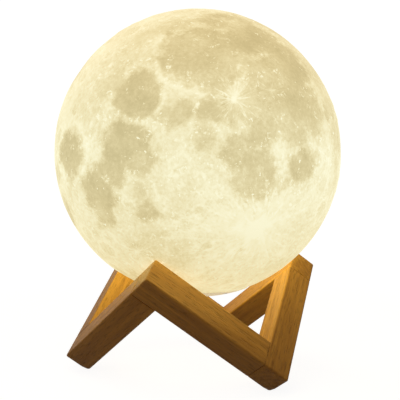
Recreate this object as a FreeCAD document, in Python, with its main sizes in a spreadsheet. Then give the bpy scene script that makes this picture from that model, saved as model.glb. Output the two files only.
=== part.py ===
import FreeCAD, Part
import math
import os
import re
import Sketcher
from FreeCAD import Placement, Rotation, Vector

# Moon lamp: a hollow printed moon, lit from inside, resting on the three peaks of a
# zigzag wooden stand. Millimetres. The origin is on the table under the moon's centre,
# +Z is up, and the stand's front peak points along -Y.

doc = FreeCAD.newDocument("moon_lamp")
sheet = doc.addObject("Spreadsheet::Sheet", "Sizes")

# ---------------------------------------------------------------- driving sizes

DRIVING_SIZES = [
    # the stand
    ("cube_side", 82, "side of the cube whose zigzag of six edges the bars follow"),
    ("bar_width", 14, "side of a bar's square section"),
    ("edge_round", 0.9, "rounding of a bar's edges"),
    ("foot_trim", 1.5, "height taken off each pointed foot, so that it stands flat"),
    ("dowel_diameter", 6, "hidden dowel in each corner joint"),
    ("dowel_length", 18, "hidden dowel, half in each bar"),
    ("dowel_slack", 0.3, "free depth past each end of a dowel"),
    ("glue_gap", 0.05, "glue all round a dowel"),
    # the moon
    ("moon_diameter", 150, "printed ball, outside"),
    ("shell_wall", 1.6, "thickness of the printed ball"),
    ("mouth_diameter", 56, "round opening in the ball's underside"),
    ("seat_gap", 0.3, "from the ball to the peaks it rests on"),
    ("fit_gap", 0.1, "all round a part that is put in by hand"),
    # the base in the mouth
    ("housing_wall", 2, "side wall of the housing"),
    ("plate_thickness", 2, "top plate of the housing"),
    ("cover_rise", 7, "from the ball's underside to the top of the cover's rim"),
    ("cover_rim", 6.2, "width of the cover's thick rim"),
    ("cover_floor", 2.2, "thickness of the cover inside its rim"),
    ("recess_rise", 1.6, "from the ball's underside up to the floor of the button recess"),
    ("recess_diameter", 23, "round recess for the button and its ring"),
    ("recess_wall", 1, "between the recess and the charging socket or light"),
    # the button and its switch
    ("button_diameter", 12, "push button"),
    ("button_proud", 1, "how far the button stands out of its recess"),
    ("button_travel", 0.6, "how far the button is pressed"),
    ("button_gap", 0.1, "running gap round the button"),
    ("flange_width", 1.4, "the button's flange, which keeps it from falling out"),
    ("flange_thickness", 1, "the button's flange"),
    ("nub_height", 0.5, "the button's nub, which pushes the stem"),
    ("ring_gap", 0.6, "from the button to the metal ring"),
    ("ring_width", 2.2, "metal ring round the button"),
    ("ring_thickness", 0.8, "metal ring round the button"),
    ("stem_diameter", 3.4, "stem of the switch"),
    ("stem_hidden", 0.9, "length of stem inside the switch at rest"),
    ("stem_spare", 0.2, "stem left showing when it is pressed"),
    ("switch_side", 6, "square body of the switch"),
    ("switch_height", 3.5, "body of the switch"),
    # the control board
    ("board_clearance", 2.2, "from the control board to the pillars round it"),
    ("board_thickness", 1.6, "control board"),
    ("board_headroom", 3, "from the board up to the housing's plate"),
    ("board_screw_inset", 4, "from the board's edge to the axis of a board screw"),
    ("board_screw_length", 4.2, "shank of a board screw"),
    ("chip_length", 5, "control chip"),
    ("chip_width", 4, "control chip"),
    ("chip_height", 1.4, "control chip"),
    ("chip_offset", 6, "from the axis to the chip's centre"),
    # screws and bosses
    ("screw_diameter", 2, "shank of every screw"),
    ("head_diameter", 3.8, "head of every screw"),
    ("head_height", 1.4, "head of every screw"),
    ("head_sunk", 5, "from the ball's underside to the seat of a cover screw's head"),
    ("cover_screw_length", 8, "shank of a cover screw"),
    ("cover_screw_inset", 3.2, "from the cover's edge to the axis of a cover screw"),
    ("boss_diameter", 6.8, "pillar over a cover screw"),
    ("board_boss_diameter", 4.6, "pillar over a board screw"),
    ("thread_gap", 0.05, "round a screw in its hole"),
    # the charging socket and light
    ("port_width", 9, "metal shell of the charging socket"),
    ("port_depth", 3.3, "metal shell of the charging socket"),
    ("port_wall", 0.35, "metal shell of the charging socket"),
    ("port_round", 1.5, "rounded ends of the charging socket"),
    ("port_rise", 2, "from the ball's underside to the socket's mouth"),
    ("port_base", 1.2, "plastic block that closes the socket's inner end"),
    ("tongue_width", 6.7, "contact tongue in the socket"),
    ("tongue_depth", 0.7, "contact tongue in the socket"),
    ("tongue_setback", 0.8, "from the socket's mouth to the tongue's tip"),
    ("light_diameter", 2.4, "clear rod of the charging light"),
    ("light_rise", 1.8, "from the ball's underside to the rod's tip"),
    ("light_flange", 0.8, "width and thickness of the rod's flange"),
    # the battery and its tube
    ("battery_diameter", 14.2, "round cell"),
    ("battery_length", 50, "round cell with its end cap"),
    ("battery_cap_diameter", 5.4, "raised end cap of the cell"),
    ("battery_cap_height", 1, "raised end cap of the cell"),
    ("battery_gap", 0.3, "between the cell and everything round it"),
    ("tube_wall", 1.6, "battery tube"),
    ("socket_wall", 1, "short collar that holds the tube's foot"),
    ("socket_height", 3, "short collar that holds the tube's foot"),
    ("contact_thickness", 0.5, "contact disc at each end of the cell"),
    ("contact_gap", 0.8, "between a contact disc and the tube"),
    ("tail_diameter", 1.6, "lead that joins a contact disc to its board"),
    # the lamp on top of the tube
    ("spigot_length", 4, "plug of the lamp holder, inside the tube"),
    ("holder_rim", 4, "how far the lamp holder's plate stands out past the tube"),
    ("holder_thickness", 2.2, "plate of the lamp holder"),
    ("lamp_board_gap", 0.4, "between the dome and the board that carries the light chips"),
    ("lamp_board_thickness", 1.6, "round board that carries the light chips"),
    ("light_chip_inset", 3.9, "from the lamp board's edge to a light chip's centre"),
    ("light_chip_length", 3.5, "light chip"),
    ("light_chip_width", 2.8, "light chip"),
    ("light_chip_height", 1.2, "light chip"),
    ("dome_wall", 1.2, "frosted dome over the light chips"),
    ("wire_diameter", 1.2, "insulated wire"),
    ("wire_offset", 1.7, "from the tube to the middle of the wires"),
    ("wire_spread", 2.6, "between the two wires"),
]
LIGHT_CHIPS = 6
COVER_SCREWS = 3
BOARD_SCREWS = 2

# ---------------------------------------------------------------- levels that follow

# The ball touches each peak at one rounded tip. The distances are counted along a cube
# edge from the cube's centre: tip_across and tip_down to the centre of a tip's rounding,
# and one of the seats from there to the ball's centre, whether it rests on the tips, on
# the bars' flat tops or on their inner edges.
DERIVED_SIZES = [
    ("moon_radius", "moon_diameter / 2"),
    ("bar_length", "cube_side - bar_width"),
    ("tip_across", "cube_side / 2 - edge_round"),
    ("tip_down", "cube_side / 2 - bar_width + edge_round"),
    ("seat_reach", "moon_radius + seat_gap + edge_round"),
    ("tip_root", "max(3 * seat_reach ^ 2 - 2 * (tip_across + tip_down) ^ 2; 0)"),
    ("seat_on_tips", "(2 * tip_across - tip_down + sqrt(tip_root)) / 3"),
    ("seat_on_flats", "seat_reach - tip_down"),
    ("seat_on_edges", "sqrt(max(seat_reach ^ 2 / 2 - tip_down ^ 2; 0))"),
    ("seat_low", "seat_on_flats > tip_down ? seat_on_flats : seat_on_edges"),
    ("ball_seat", "seat_on_tips > tip_across ? seat_on_tips : seat_low"),
    ("cube_height", "cube_side * sqrt(3) / 2 - bar_length / sqrt(3) - foot_trim"),
    ("ball_height", "cube_height + ball_seat * sqrt(3)"),
    ("underside", "ball_height - moon_radius"),
    ("recess_level", "underside + recess_rise"),
    ("cover_inside", "recess_level + cover_floor"),
    ("cover_top", "underside + cover_rise"),
    ("button_face", "recess_level - button_proud"),
    ("button_top", "cover_inside + flange_thickness"),
    ("stem_level", "button_top + nub_height"),
    ("switch_level", "stem_level + button_travel + stem_spare"),
    ("board_level", "switch_level + switch_height"),
    ("board_top", "board_level + board_thickness"),
    ("plate_level", "board_top + board_headroom"),
    ("plate_top", "plate_level + plate_thickness"),
    ("battery_level", "plate_top + contact_thickness + battery_gap"),
    ("battery_top", "battery_level + battery_length"),
    ("upper_contact_level", "battery_top + battery_gap"),
    ("spigot_level", "upper_contact_level + contact_thickness"),
    ("holder_level", "spigot_level + spigot_length"),
    ("holder_top", "holder_level + holder_thickness"),
    ("lamp_board_top", "holder_top + lamp_board_thickness"),
    ("housing_radius", "mouth_diameter / 2 - fit_gap"),
    ("housing_bore", "housing_radius - housing_wall"),
    ("cover_radius", "housing_bore - fit_gap"),
    ("button_radius", "button_diameter / 2 - button_gap"),
    ("ring_bore", "button_diameter / 2 + ring_gap"),
    ("cover_screw_circle", "2 * (cover_radius - cover_screw_inset)"),
    ("board_radius", "(cover_screw_circle - boss_diameter) / 2 - board_clearance"),
    ("board_screw_circle", "2 * (board_radius - board_screw_inset)"),
    ("port_offset", "recess_diameter / 2 + recess_wall + fit_gap + port_depth / 2"),
    ("light_offset", "recess_diameter / 2 + recess_wall + fit_gap + light_diameter / 2"),
    ("port_level", "underside + port_rise"),
    ("light_level", "underside + light_rise"),
    ("tube_bore", "battery_diameter / 2 + battery_gap"),
    ("tube_radius", "tube_bore + tube_wall"),
    ("contact_radius", "tube_bore - contact_gap"),
    ("holder_radius", "tube_radius + holder_rim"),
    ("lamp_board_radius", "holder_radius - dome_wall - lamp_board_gap"),
    ("light_chip_circle", "2 * (lamp_board_radius - light_chip_inset)"),
    ("wire_reach", "tube_radius + wire_offset"),
    ("screw_hole", "screw_diameter / 2 + thread_gap"),
    ("wire_hole", "wire_diameter / 2 + fit_gap"),
]

ALIASES = [row[0] for row in DRIVING_SIZES] + [row[0] for row in DERIVED_SIZES]
ALIAS_WORD = re.compile(r"\b(" + "|".join(sorted(ALIASES, key=len, reverse=True)) + r")\b")

for row, (alias, value, note) in enumerate(DRIVING_SIZES, start=1):
    sheet.set(f"A{row}", note)
    sheet.set(f"B{row}", str(value))
    sheet.setAlias(f"B{row}", alias)
for row, (alias, formula) in enumerate(DERIVED_SIZES, start=len(DRIVING_SIZES) + 1):
    sheet.set(f"B{row}", "=" + formula)
    sheet.setAlias(f"B{row}", alias)
doc.recompute()


def size(alias):
    """The number that a cell of the sheet holds."""
    return float(getattr(sheet, alias))


def bind(feature, **formulas):
    """Tie properties to formulas on the sheet's sizes; x, y and z place the feature."""
    for name, formula in formulas.items():
        path = f"Placement.Base.{name}" if name in ("x", "y", "z") else name
        feature.setExpression(path, ALIAS_WORD.sub(r"Sizes.\1", str(formula)))
    return feature


# ---------------------------------------------------------------- plain solids


def cylinder(name, radius, low, high, **place):
    """An upright cylinder between two levels."""
    feature = doc.addObject("Part::Cylinder", name)
    return bind(feature, Radius=radius, Height=f"{high} - ({low})", z=low, **place)


def box(name, length, width, low, high, x="0", y="0"):
    """An upright block between two levels, centred on x and y."""
    feature = doc.addObject("Part::Box", name)
    bind(feature, Length=length, Width=width, Height=f"{high} - ({low})")
    return bind(feature, x=f"{x} - ({length}) / 2", y=f"{y} - ({width}) / 2", z=low)


def sphere(name, radius, level):
    """A ball whose centre is on the axis at a level."""
    return bind(doc.addObject("Part::Sphere", name), Radius=radius, z=level)


def fuse(name, *shapes):
    """Several solids joined into one."""
    feature = doc.addObject("Part::MultiFuse", name)
    feature.Shapes = list(shapes)
    return feature


def cut(name, base, *tools):
    """A solid with others taken out of it."""
    tool = tools[0] if len(tools) == 1 else fuse(name + "_tools", *tools)
    feature = doc.addObject("Part::Cut", name)
    feature.Base = base
    feature.Tool = tool
    return feature


def common(name, base, tool):
    """What two solids have in common."""
    feature = doc.addObject("Part::Common", name)
    feature.Base = base
    feature.Tool = tool
    return feature


def group(name, shapes):
    """Like pieces that share a node and stay separate solids."""
    feature = doc.addObject("Part::Compound", name)
    feature.Links = list(shapes)
    return feature


def around(circle, count, index, first=90):
    """Formulas for the place of one of count pieces spaced evenly on a circle."""
    angle = first + 360 / count * index
    return {"x": f"{circle} / 2 * cos({angle})", "y": f"{circle} / 2 * sin({angle})"}


# ---------------------------------------------------------------- sketched bodies


def origin_plane(body, role):
    """One of a body's own base planes."""
    return next(plane for plane in body.Origin.OriginFeatures if plane.Role == role)


def new_sketch(body, name, role):
    """An empty sketch on one of the body's base planes."""
    sketch = body.newObject("Sketcher::SketchObject", name)
    sketch.AttachmentSupport = [(origin_plane(body, role), "")]
    sketch.MapMode = "FlatFace"
    return sketch


def dimension(sketch, constraint, formula):
    """Add a constraint whose value follows the sheet."""
    index = sketch.addConstraint(constraint)
    sketch.setExpression(f"Constraints[{index}]", ALIAS_WORD.sub(r"Sizes.\1", formula))


def square_sketch(body, name, role, side):
    """A square centred on the sketch's origin."""
    sketch = new_sketch(body, name, role)
    half = size(side) / 2
    corners = [Vector(-half, -half, 0), Vector(half, -half, 0), Vector(half, half, 0), Vector(-half, half, 0)]
    for index in range(4):
        sketch.addGeometry(Part.LineSegment(corners[index], corners[(index + 1) % 4]), False)
    for index in range(4):
        sketch.addConstraint(Sketcher.Constraint("Coincident", index, 2, (index + 1) % 4, 1))
        direction = "Horizontal" if index % 2 == 0 else "Vertical"
        sketch.addConstraint(Sketcher.Constraint(direction, index))
    sketch.addConstraint(Sketcher.Constraint("Symmetric", 0, 1, 1, 2, -1, 1))
    dimension(sketch, Sketcher.Constraint("DistanceX", 0, 1, 0, 2, 2 * half), side)
    dimension(sketch, Sketcher.Constraint("DistanceY", 1, 1, 1, 2, 2 * half), side)
    return sketch


def circle_sketch(body, name, role, radius):
    """A circle centred on the sketch's origin."""
    sketch = new_sketch(body, name, role)
    sketch.addGeometry(Part.Circle(Vector(0, 0, 0), Vector(0, 0, 1), 1.0), False)
    sketch.addConstraint(Sketcher.Constraint("Coincident", 0, 3, -1, 1))
    dimension(sketch, Sketcher.Constraint("Radius", 0, 1.0), radius)
    return sketch


# ---------------------------------------------------------------- the stand

# The bars follow the edges of a cube that stands on one corner, with its body diagonal
# upright: three peaks and three feet in turn. Each edge direction of the cube leans
# the same way, so each has a compass angle and the same rise.
EDGE_ANGLES = [210, 330, 90]
EDGE_RISE = 1 / math.sqrt(3)
EDGE_REACH = math.sqrt(2 / 3)
EDGES = [
    Vector(EDGE_REACH * math.cos(math.radians(a)), EDGE_REACH * math.sin(math.radians(a)), EDGE_RISE)
    for a in EDGE_ANGLES
]
# The zigzag's corners, as signs along the three edge directions: a peak, a foot, and so on.
ZIGZAG = [(1, 1, -1), (-1, 1, -1), (-1, 1, 1), (-1, -1, 1), (1, -1, 1), (1, -1, -1)]


def cube_point(signs):
    """A corner of the cube, in the part's frame."""
    half = size("cube_side") / 2
    point = Vector(0, 0, size("cube_height"))
    for sign, edge in zip(signs, EDGES):
        point = point + edge * (sign * half)
    return point


def corner_directions(index):
    """Unit vectors at a corner: to the next corner, to the one before, and to the empty one."""
    here = ZIGZAG[index]
    ahead = ZIGZAG[(index + 1) % len(ZIGZAG)]
    behind = ZIGZAG[index - 1]
    to_next = (cube_point(ahead) - cube_point(here)).normalize()
    to_last = (cube_point(behind) - cube_point(here)).normalize()
    empty = next(k for k in range(3) if here[k] == ahead[k] and here[k] == behind[k])
    to_empty = EDGES[empty] * -here[empty]
    return to_next, to_last, to_empty


def stand_bar(index):
    """A square bar: it runs through at its first corner and butts on the next bar."""
    body = doc.addObject("PartDesign::Body", f"bar_{index + 1}")
    section = square_sketch(body, f"bar_section_{index + 1}", "YZ_Plane", "bar_width")
    pad = body.newObject("PartDesign::Pad", f"bar_pad_{index + 1}")
    pad.Profile = section
    bind(pad, Length="bar_length")
    doc.recompute()
    rounded = body.newObject("PartDesign::Fillet", f"bar_round_{index + 1}")
    rounded.Base = (pad, [""])
    rounded.UseAllEdges = True
    bind(rounded, Radius="edge_round")
    doc.recompute()
    hole_radius = "dowel_diameter / 2 + glue_gap"
    hole_depth = "dowel_length / 2 + dowel_slack"
    end_hole = body.newObject("PartDesign::SubtractiveCylinder", f"bar_end_hole_{index + 1}")
    end_hole.Placement = Placement(Vector(), Rotation(Vector(0, 0, 1), Vector(-1, 0, 0)))
    bind(end_hole, Radius=hole_radius, Height=hole_depth, x="bar_length")
    side_hole = body.newObject("PartDesign::SubtractiveCylinder", f"bar_side_hole_{index + 1}")
    side_hole.Placement = Placement(Vector(), Rotation(Vector(0, 0, 1), Vector(0, -1, 0)))
    bind(side_hole, Radius=hole_radius, Height=hole_depth, x="bar_width / 2", y="bar_width / 2")
    to_next, to_last, to_empty = corner_directions(index)
    start = cube_point(ZIGZAG[index]) + (to_last + to_empty) * (size("bar_width") / 2)
    turn = Rotation(to_next, to_last, to_next.cross(to_last), "XYZ")
    body.Placement = Placement(start, turn)
    doc.recompute()
    return body


def dowel(index):
    """The round peg that joins one bar's end to the side of the next."""
    to_next, to_last, to_empty = corner_directions(index)
    width = size("bar_width")
    joint = cube_point(ZIGZAG[index]) + to_last * width + (to_next + to_empty) * (width / 2)
    peg = doc.addObject("Part::Cylinder", f"dowel_{index + 1}")
    start = joint - to_last * (size("dowel_length") / 2)
    peg.Placement = Placement(start, Rotation(Vector(0, 0, 1), to_last))
    bind(peg, Radius="dowel_diameter / 2", Height="dowel_length")
    return peg


stand_bars = []
for index in range(len(ZIGZAG)):
    bar = stand_bar(index)
    if index % 2 == 1:
        # The foot's tip points straight down, and the table's plane cuts it flat.
        below = box(f"table_{index}", "4 * cube_side", "4 * cube_side", "-cube_side", "0")
        bar = cut(f"foot_bar_{index + 1}", bar, below)
    stand_bars.append(bar)
stand_dowels = group("stand_dowels", [dowel(index) for index in range(len(ZIGZAG))])

# ---------------------------------------------------------------- the moon

moon_shell = cut(
    "moon_shell",
    sphere("ball_outside", "moon_radius", "ball_height"),
    sphere("ball_inside", "moon_radius - shell_wall", "ball_height"),
    cylinder("mouth", "mouth_diameter / 2", "underside - 1", "ball_height"),
)

# ---------------------------------------------------------------- the base housing

housing_round = cut(
    "housing_round",
    cylinder("housing_outside", "housing_radius", "underside", "plate_top"),
    cylinder("housing_inside", "housing_bore", "underside - 1", "plate_level"),
)
cover_bosses = [
    cylinder(f"cover_boss_{k}", "boss_diameter / 2", "cover_top", "plate_top",
             **around("cover_screw_circle", COVER_SCREWS, k))
    for k in range(COVER_SCREWS)
]
board_bosses = [
    cylinder(f"board_boss_{k}", "board_boss_diameter / 2", "board_top", "plate_top",
             **around("board_screw_circle", BOARD_SCREWS, k, first=0))
    for k in range(BOARD_SCREWS)
]
tube_socket = cut(
    "tube_socket",
    cylinder("socket_outside", "tube_radius + fit_gap + socket_wall", "plate_level",
             "plate_top + socket_height"),
    cylinder("socket_inside", "tube_radius + fit_gap", "plate_top", "plate_top + socket_height + 1"),
)
housing_solid = fuse("housing_solid", housing_round, *cover_bosses, *board_bosses, tube_socket)
housing_ball = common(
    "housing_ball",
    housing_solid,
    sphere("housing_limit", "moon_radius", "ball_height"),
)
cover_pilots = [
    cylinder(f"cover_pilot_{k}", "screw_hole", "cover_top - 1",
             "underside + head_sunk + cover_screw_length + fit_gap",
             **around("cover_screw_circle", COVER_SCREWS, k))
    for k in range(COVER_SCREWS)
]
board_pilots = [
    cylinder(f"board_pilot_{k}", "screw_hole", "board_top - 1", "board_level + board_screw_length + fit_gap",
             **around("board_screw_circle", BOARD_SCREWS, k, first=0))
    for k in range(BOARD_SCREWS)
]
wire_places = [{"x": f"{side} * wire_spread / 2", "y": "wire_reach"} for side in (-1, 1)]
plate_wire_holes = [
    cylinder(f"plate_wire_hole_{k}", "wire_hole", "plate_level - 1", "plate_top + socket_height + 1", **place)
    for k, place in enumerate(wire_places)
]
lead_hole = cylinder("lead_hole", "tail_diameter / 2 + fit_gap", "plate_level - 1", "plate_top + 1")
base_housing = cut(
    "base_housing", housing_ball, *cover_pilots, *board_pilots, *plate_wire_holes, lead_hole
)

# ---------------------------------------------------------------- the base cover

# The cover's outer face carries on the curve of the ball.
cover_ball = common(
    "cover_ball",
    cylinder("cover_disc", "cover_radius", "underside - 1", "cover_top"),
    sphere("cover_limit", "moon_radius", "ball_height"),
)
cover_holes = [
    cylinder("cover_hollow", "cover_radius - cover_rim", "cover_inside", "cover_top + 1"),
    cylinder("cover_recess", "recess_diameter / 2", "underside - 1", "recess_level"),
    cylinder("button_hole", "button_diameter / 2", "underside - 1", "cover_top + 1"),
    cylinder("light_hole", "light_diameter / 2 + fit_gap", "underside - 1", "cover_top + 1", y="light_offset"),
]
for k in range(COVER_SCREWS):
    place = around("cover_screw_circle", COVER_SCREWS, k)
    cover_holes.append(cylinder(f"cover_shank_hole_{k}", "screw_hole", "underside", "cover_top + 1", **place))
    cover_holes.append(cylinder(f"cover_head_hole_{k}", "head_diameter / 2 + fit_gap",
                                "underside - 1", "underside + head_sunk", **place))


def port_block(name, grow, low, high):
    """A block with the rounded outline of the charging socket, made larger by grow all round."""
    block = box(name + "_block", f"port_width + 2 * ({grow})", f"port_depth + 2 * ({grow})",
                low, high, y="-port_offset")
    doc.recompute()
    upright = [n + 1 for n, edge in enumerate(block.Shape.Edges)
               if abs(edge.tangentAt(edge.FirstParameter).z) > 0.9]
    rounded = doc.addObject("Part::Fillet", name)
    rounded.Base = block
    radius = size("port_round") + {"0": 0, "fit_gap": size("fit_gap"), "-port_wall": -size("port_wall")}[grow]
    rounded.Edges = [(n, radius, radius) for n in upright]
    return rounded


cover_holes.append(port_block("port_slot", "fit_gap", "underside - 1", "cover_top + 1"))
base_cover = cut("base_cover", cover_ball, *cover_holes)


def screw(name, seat, length, head_down, place):
    """A pan-head screw whose head sits under its seat and whose shank points up."""
    head = cylinder(name + "_head", "head_diameter / 2", f"{seat} - ({head_down})", seat, **place)
    shank = cylinder(name + "_shank", "screw_diameter / 2", seat, f"{seat} + {length}", **place)
    return fuse(name, head, shank)


cover_screws = group("cover_screws", [
    screw(f"cover_screw_{k}", "underside + head_sunk", "cover_screw_length", "head_height",
          around("cover_screw_circle", COVER_SCREWS, k))
    for k in range(COVER_SCREWS)
])

# ---------------------------------------------------------------- the button and its switch

button_ring = cut(
    "button_ring",
    cylinder("ring_outside", "ring_bore + ring_width", "recess_level - ring_thickness", "recess_level"),
    cylinder("ring_inside", "ring_bore", "recess_level - ring_thickness - 1", "recess_level + 1"),
)
power_button = fuse(
    "power_button",
    cylinder("button_cap", "button_radius", "button_face", "cover_inside"),
    cylinder("button_flange", "button_radius + flange_width", "cover_inside", "button_top"),
    cylinder("button_nub", "stem_diameter / 2", "button_top", "stem_level"),
)
switch_stem = cylinder("switch_stem", "stem_diameter / 2", "stem_level", "switch_level + stem_hidden")
switch_body = cut(
    "switch_body",
    box("switch_block", "switch_side", "switch_side", "switch_level", "board_level"),
    cylinder("switch_bore", "stem_diameter / 2 + button_gap", "switch_level - 1",
             "switch_level + stem_hidden + button_travel + stem_spare"),
)

# ---------------------------------------------------------------- the control board

board_body = doc.addObject("PartDesign::Body", "board_body")
board_pad = board_body.newObject("PartDesign::Pad", "board_pad")
board_pad.Profile = circle_sketch(board_body, "board_outline", "XY_Plane", "board_radius")
bind(board_pad, Length="board_thickness")
doc.recompute()
for k in range(BOARD_SCREWS):
    hole = board_body.newObject("PartDesign::SubtractiveCylinder", f"board_screw_hole_{k}")
    bind(hole, Radius="screw_hole", Height="board_thickness",
         **around("board_screw_circle", BOARD_SCREWS, k, first=0))
    doc.recompute()
bind(board_body, z="board_level")
main_board = board_body

board_screws = group("board_screws", [
    screw(f"board_screw_{k}", "board_level", "board_screw_length", "head_height",
          around("board_screw_circle", BOARD_SCREWS, k, first=0))
    for k in range(BOARD_SCREWS)
])
control_chip = box("control_chip", "chip_length", "chip_width", "board_top", "board_top + chip_height",
                   x="-chip_offset", y="chip_offset")

# ---------------------------------------------------------------- the charging socket and light

charge_port = cut(
    "charge_port",
    port_block("port_outside", "0", "port_level", "board_level"),
    port_block("port_inside", "-port_wall", "port_level - 1", "board_level - port_base"),
)
port_tongue = box("port_tongue", "tongue_width", "tongue_depth", "port_level + tongue_setback",
                  "board_level - port_base", y="-port_offset")
charge_light = fuse(
    "charge_light",
    cylinder("light_rod", "light_diameter / 2", "light_level", "board_level", y="light_offset"),
    cylinder("light_collar", "light_diameter / 2 + light_flange", "cover_inside",
             "cover_inside + light_flange", y="light_offset"),
)

# ---------------------------------------------------------------- the battery and its tube

battery_tube = cut(
    "battery_tube",
    cylinder("tube_outside", "tube_radius", "plate_top", "holder_level"),
    cylinder("tube_inside", "tube_bore", "plate_top - 1", "holder_level + 1"),
)
lower_contact = fuse(
    "lower_contact",
    cylinder("lower_disc", "contact_radius", "plate_top", "plate_top + contact_thickness"),
    cylinder("lower_tail", "tail_diameter / 2", "board_top", "plate_top"),
)
battery_cell = fuse(
    "battery_cell",
    cylinder("cell_can", "battery_diameter / 2", "battery_level", "battery_top - battery_cap_height"),
    cylinder("cell_cap", "battery_cap_diameter / 2", "battery_top - battery_cap_height", "battery_top"),
)
upper_contact = fuse(
    "upper_contact",
    cylinder("upper_disc", "contact_radius", "upper_contact_level", "spigot_level"),
    cylinder("upper_tail", "tail_diameter / 2", "spigot_level", "holder_top"),
)

# ---------------------------------------------------------------- the lamp on the tube

holder_solid = fuse(
    "holder_solid",
    cylinder("holder_spigot", "tube_bore - fit_gap", "spigot_level", "holder_level"),
    cylinder("holder_plate", "holder_radius", "holder_level", "holder_top"),
)
holder_wire_holes = [
    cylinder(f"holder_wire_hole_{k}", "wire_hole", "holder_level - 1", "holder_top + 1", **place)
    for k, place in enumerate(wire_places)
]
lamp_holder = cut(
    "lamp_holder", holder_solid, *holder_wire_holes,
    cylinder("tail_hole", "tail_diameter / 2 + fit_gap", "spigot_level - 1", "holder_top + 1"),
)
lamp_board = cylinder("lamp_board", "lamp_board_radius", "holder_top", "lamp_board_top")
light_chips = group("light_chips", [
    box(f"light_chip_{k}", "light_chip_length", "light_chip_width", "lamp_board_top",
        "lamp_board_top + light_chip_height", **around("light_chip_circle", LIGHT_CHIPS, k, first=0))
    for k in range(LIGHT_CHIPS)
])
lamp_dome = cut(
    "lamp_dome",
    common(
        "dome_half",
        sphere("dome_outside", "holder_radius", "holder_top"),
        cylinder("dome_keep", "2 * holder_radius", "holder_top", "holder_top + 2 * holder_radius"),
    ),
    sphere("dome_inside", "holder_radius - dome_wall", "holder_top"),
)
lamp_wires = group("lamp_wires", [
    cylinder(f"lamp_wire_{k}", "wire_diameter / 2", "board_top", "holder_top", **place)
    for k, place in enumerate(wire_places)
])

# ---------------------------------------------------------------- check and write

SUB_PARTS = {f"stand_bar_{n + 1}": bar for n, bar in enumerate(stand_bars)}
SUB_PARTS.update({
    "stand_dowels": stand_dowels,
    "moon_shell": moon_shell,
    "base_housing": base_housing,
    "base_cover": base_cover,
    "cover_screws": cover_screws,
    "button_ring": button_ring,
    "power_button": power_button,
    "switch_stem": switch_stem,
    "switch_body": switch_body,
    "main_board": main_board,
    "board_screws": board_screws,
    "control_chip": control_chip,
    "charge_port": charge_port,
    "port_tongue": port_tongue,
    "charge_light": charge_light,
    "battery_tube": battery_tube,
    "lower_contact": lower_contact,
    "battery_cell": battery_cell,
    "upper_contact": upper_contact,
    "lamp_holder": lamp_holder,
    "lamp_board": lamp_board,
    "light_chips": light_chips,
    "lamp_dome": lamp_dome,
    "lamp_wires": lamp_wires,
})
for label, feature in SUB_PARTS.items():
    feature.Label = label

doc.recompute()
for feature in doc.Objects:
    if "Invalid" in feature.State or "Error" in feature.State:
        raise RuntimeError(f"{feature.Name} failed: {feature.State}")
for label, feature in SUB_PARTS.items():
    if feature.Shape.isNull() or not feature.Shape.isValid():
        raise RuntimeError(f"{label} has no valid shape")

os.makedirs("parts", exist_ok=True)
for label, feature in SUB_PARTS.items():
    feature.Shape.exportStep(f"parts/{label}.step")
    print(f"{label}: {len(feature.Shape.Solids)} solid(s), {feature.Shape.Volume:.1f} mm3")
print(f"ball centre {size('ball_height'):.3f}, underside {size('underside'):.3f}")
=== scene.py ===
import math

import bpy
import numpy as np
from mathutils import Matrix, Vector


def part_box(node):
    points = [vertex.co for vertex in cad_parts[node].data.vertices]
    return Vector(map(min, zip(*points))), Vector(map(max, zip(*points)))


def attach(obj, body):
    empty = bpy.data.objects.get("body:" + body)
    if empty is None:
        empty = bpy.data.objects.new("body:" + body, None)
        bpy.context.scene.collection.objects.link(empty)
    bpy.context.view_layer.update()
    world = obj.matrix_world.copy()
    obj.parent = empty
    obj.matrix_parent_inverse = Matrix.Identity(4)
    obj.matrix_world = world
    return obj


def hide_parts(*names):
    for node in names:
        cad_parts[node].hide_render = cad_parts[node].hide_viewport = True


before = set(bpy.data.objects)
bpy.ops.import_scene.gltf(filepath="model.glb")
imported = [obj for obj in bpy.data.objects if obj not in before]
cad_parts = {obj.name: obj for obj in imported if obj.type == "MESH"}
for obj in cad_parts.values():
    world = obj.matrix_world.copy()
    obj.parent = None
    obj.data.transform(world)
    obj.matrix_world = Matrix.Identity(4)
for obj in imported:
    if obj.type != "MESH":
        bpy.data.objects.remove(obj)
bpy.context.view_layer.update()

# ------------------------------------------------------------------ camera and studio
# The picture is taken from close by, level with the middle of the lamp and a little to
# the right of its front foot, against plain white.
CAMERA_PLACE = Vector((0.1160, -0.3405, 0.0941))
CAMERA_LINE = Vector((-0.3178, 0.9480, -0.0160)).normalized()
CAMERA_ROLL = math.radians(1.3)
CAMERA_LENS = 60.8

level_right = CAMERA_LINE.cross(Vector((0, 0, 1))).normalized()
level_up = level_right.cross(CAMERA_LINE)
right = level_right * math.cos(CAMERA_ROLL) + level_up * math.sin(CAMERA_ROLL)
up = level_up * math.cos(CAMERA_ROLL) - level_right * math.sin(CAMERA_ROLL)
camera_data = bpy.data.cameras.new("camera")
camera_data.lens = CAMERA_LENS
camera_data.sensor_width = 36.0
camera_data.clip_start = 0.01
camera = bpy.data.objects.new("camera", camera_data)
camera_turn = Matrix((right, up, -CAMERA_LINE)).transposed().to_4x4()
camera.matrix_world = Matrix.Translation(CAMERA_PLACE) @ camera_turn
bpy.context.scene.collection.objects.link(camera)
bpy.context.scene.camera = camera
bpy.context.scene.view_settings.view_transform = "Standard"


def linear(hex_colour):
    """An sRGB hex colour as linear red, green, blue and 1."""
    parts = [int(hex_colour[k:k + 2], 16) / 255 for k in (1, 3, 5)]
    return [c / 12.92 if c <= 0.04045 else ((c + 0.055) / 1.055) ** 2.4 for c in parts] + [1.0]


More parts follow.
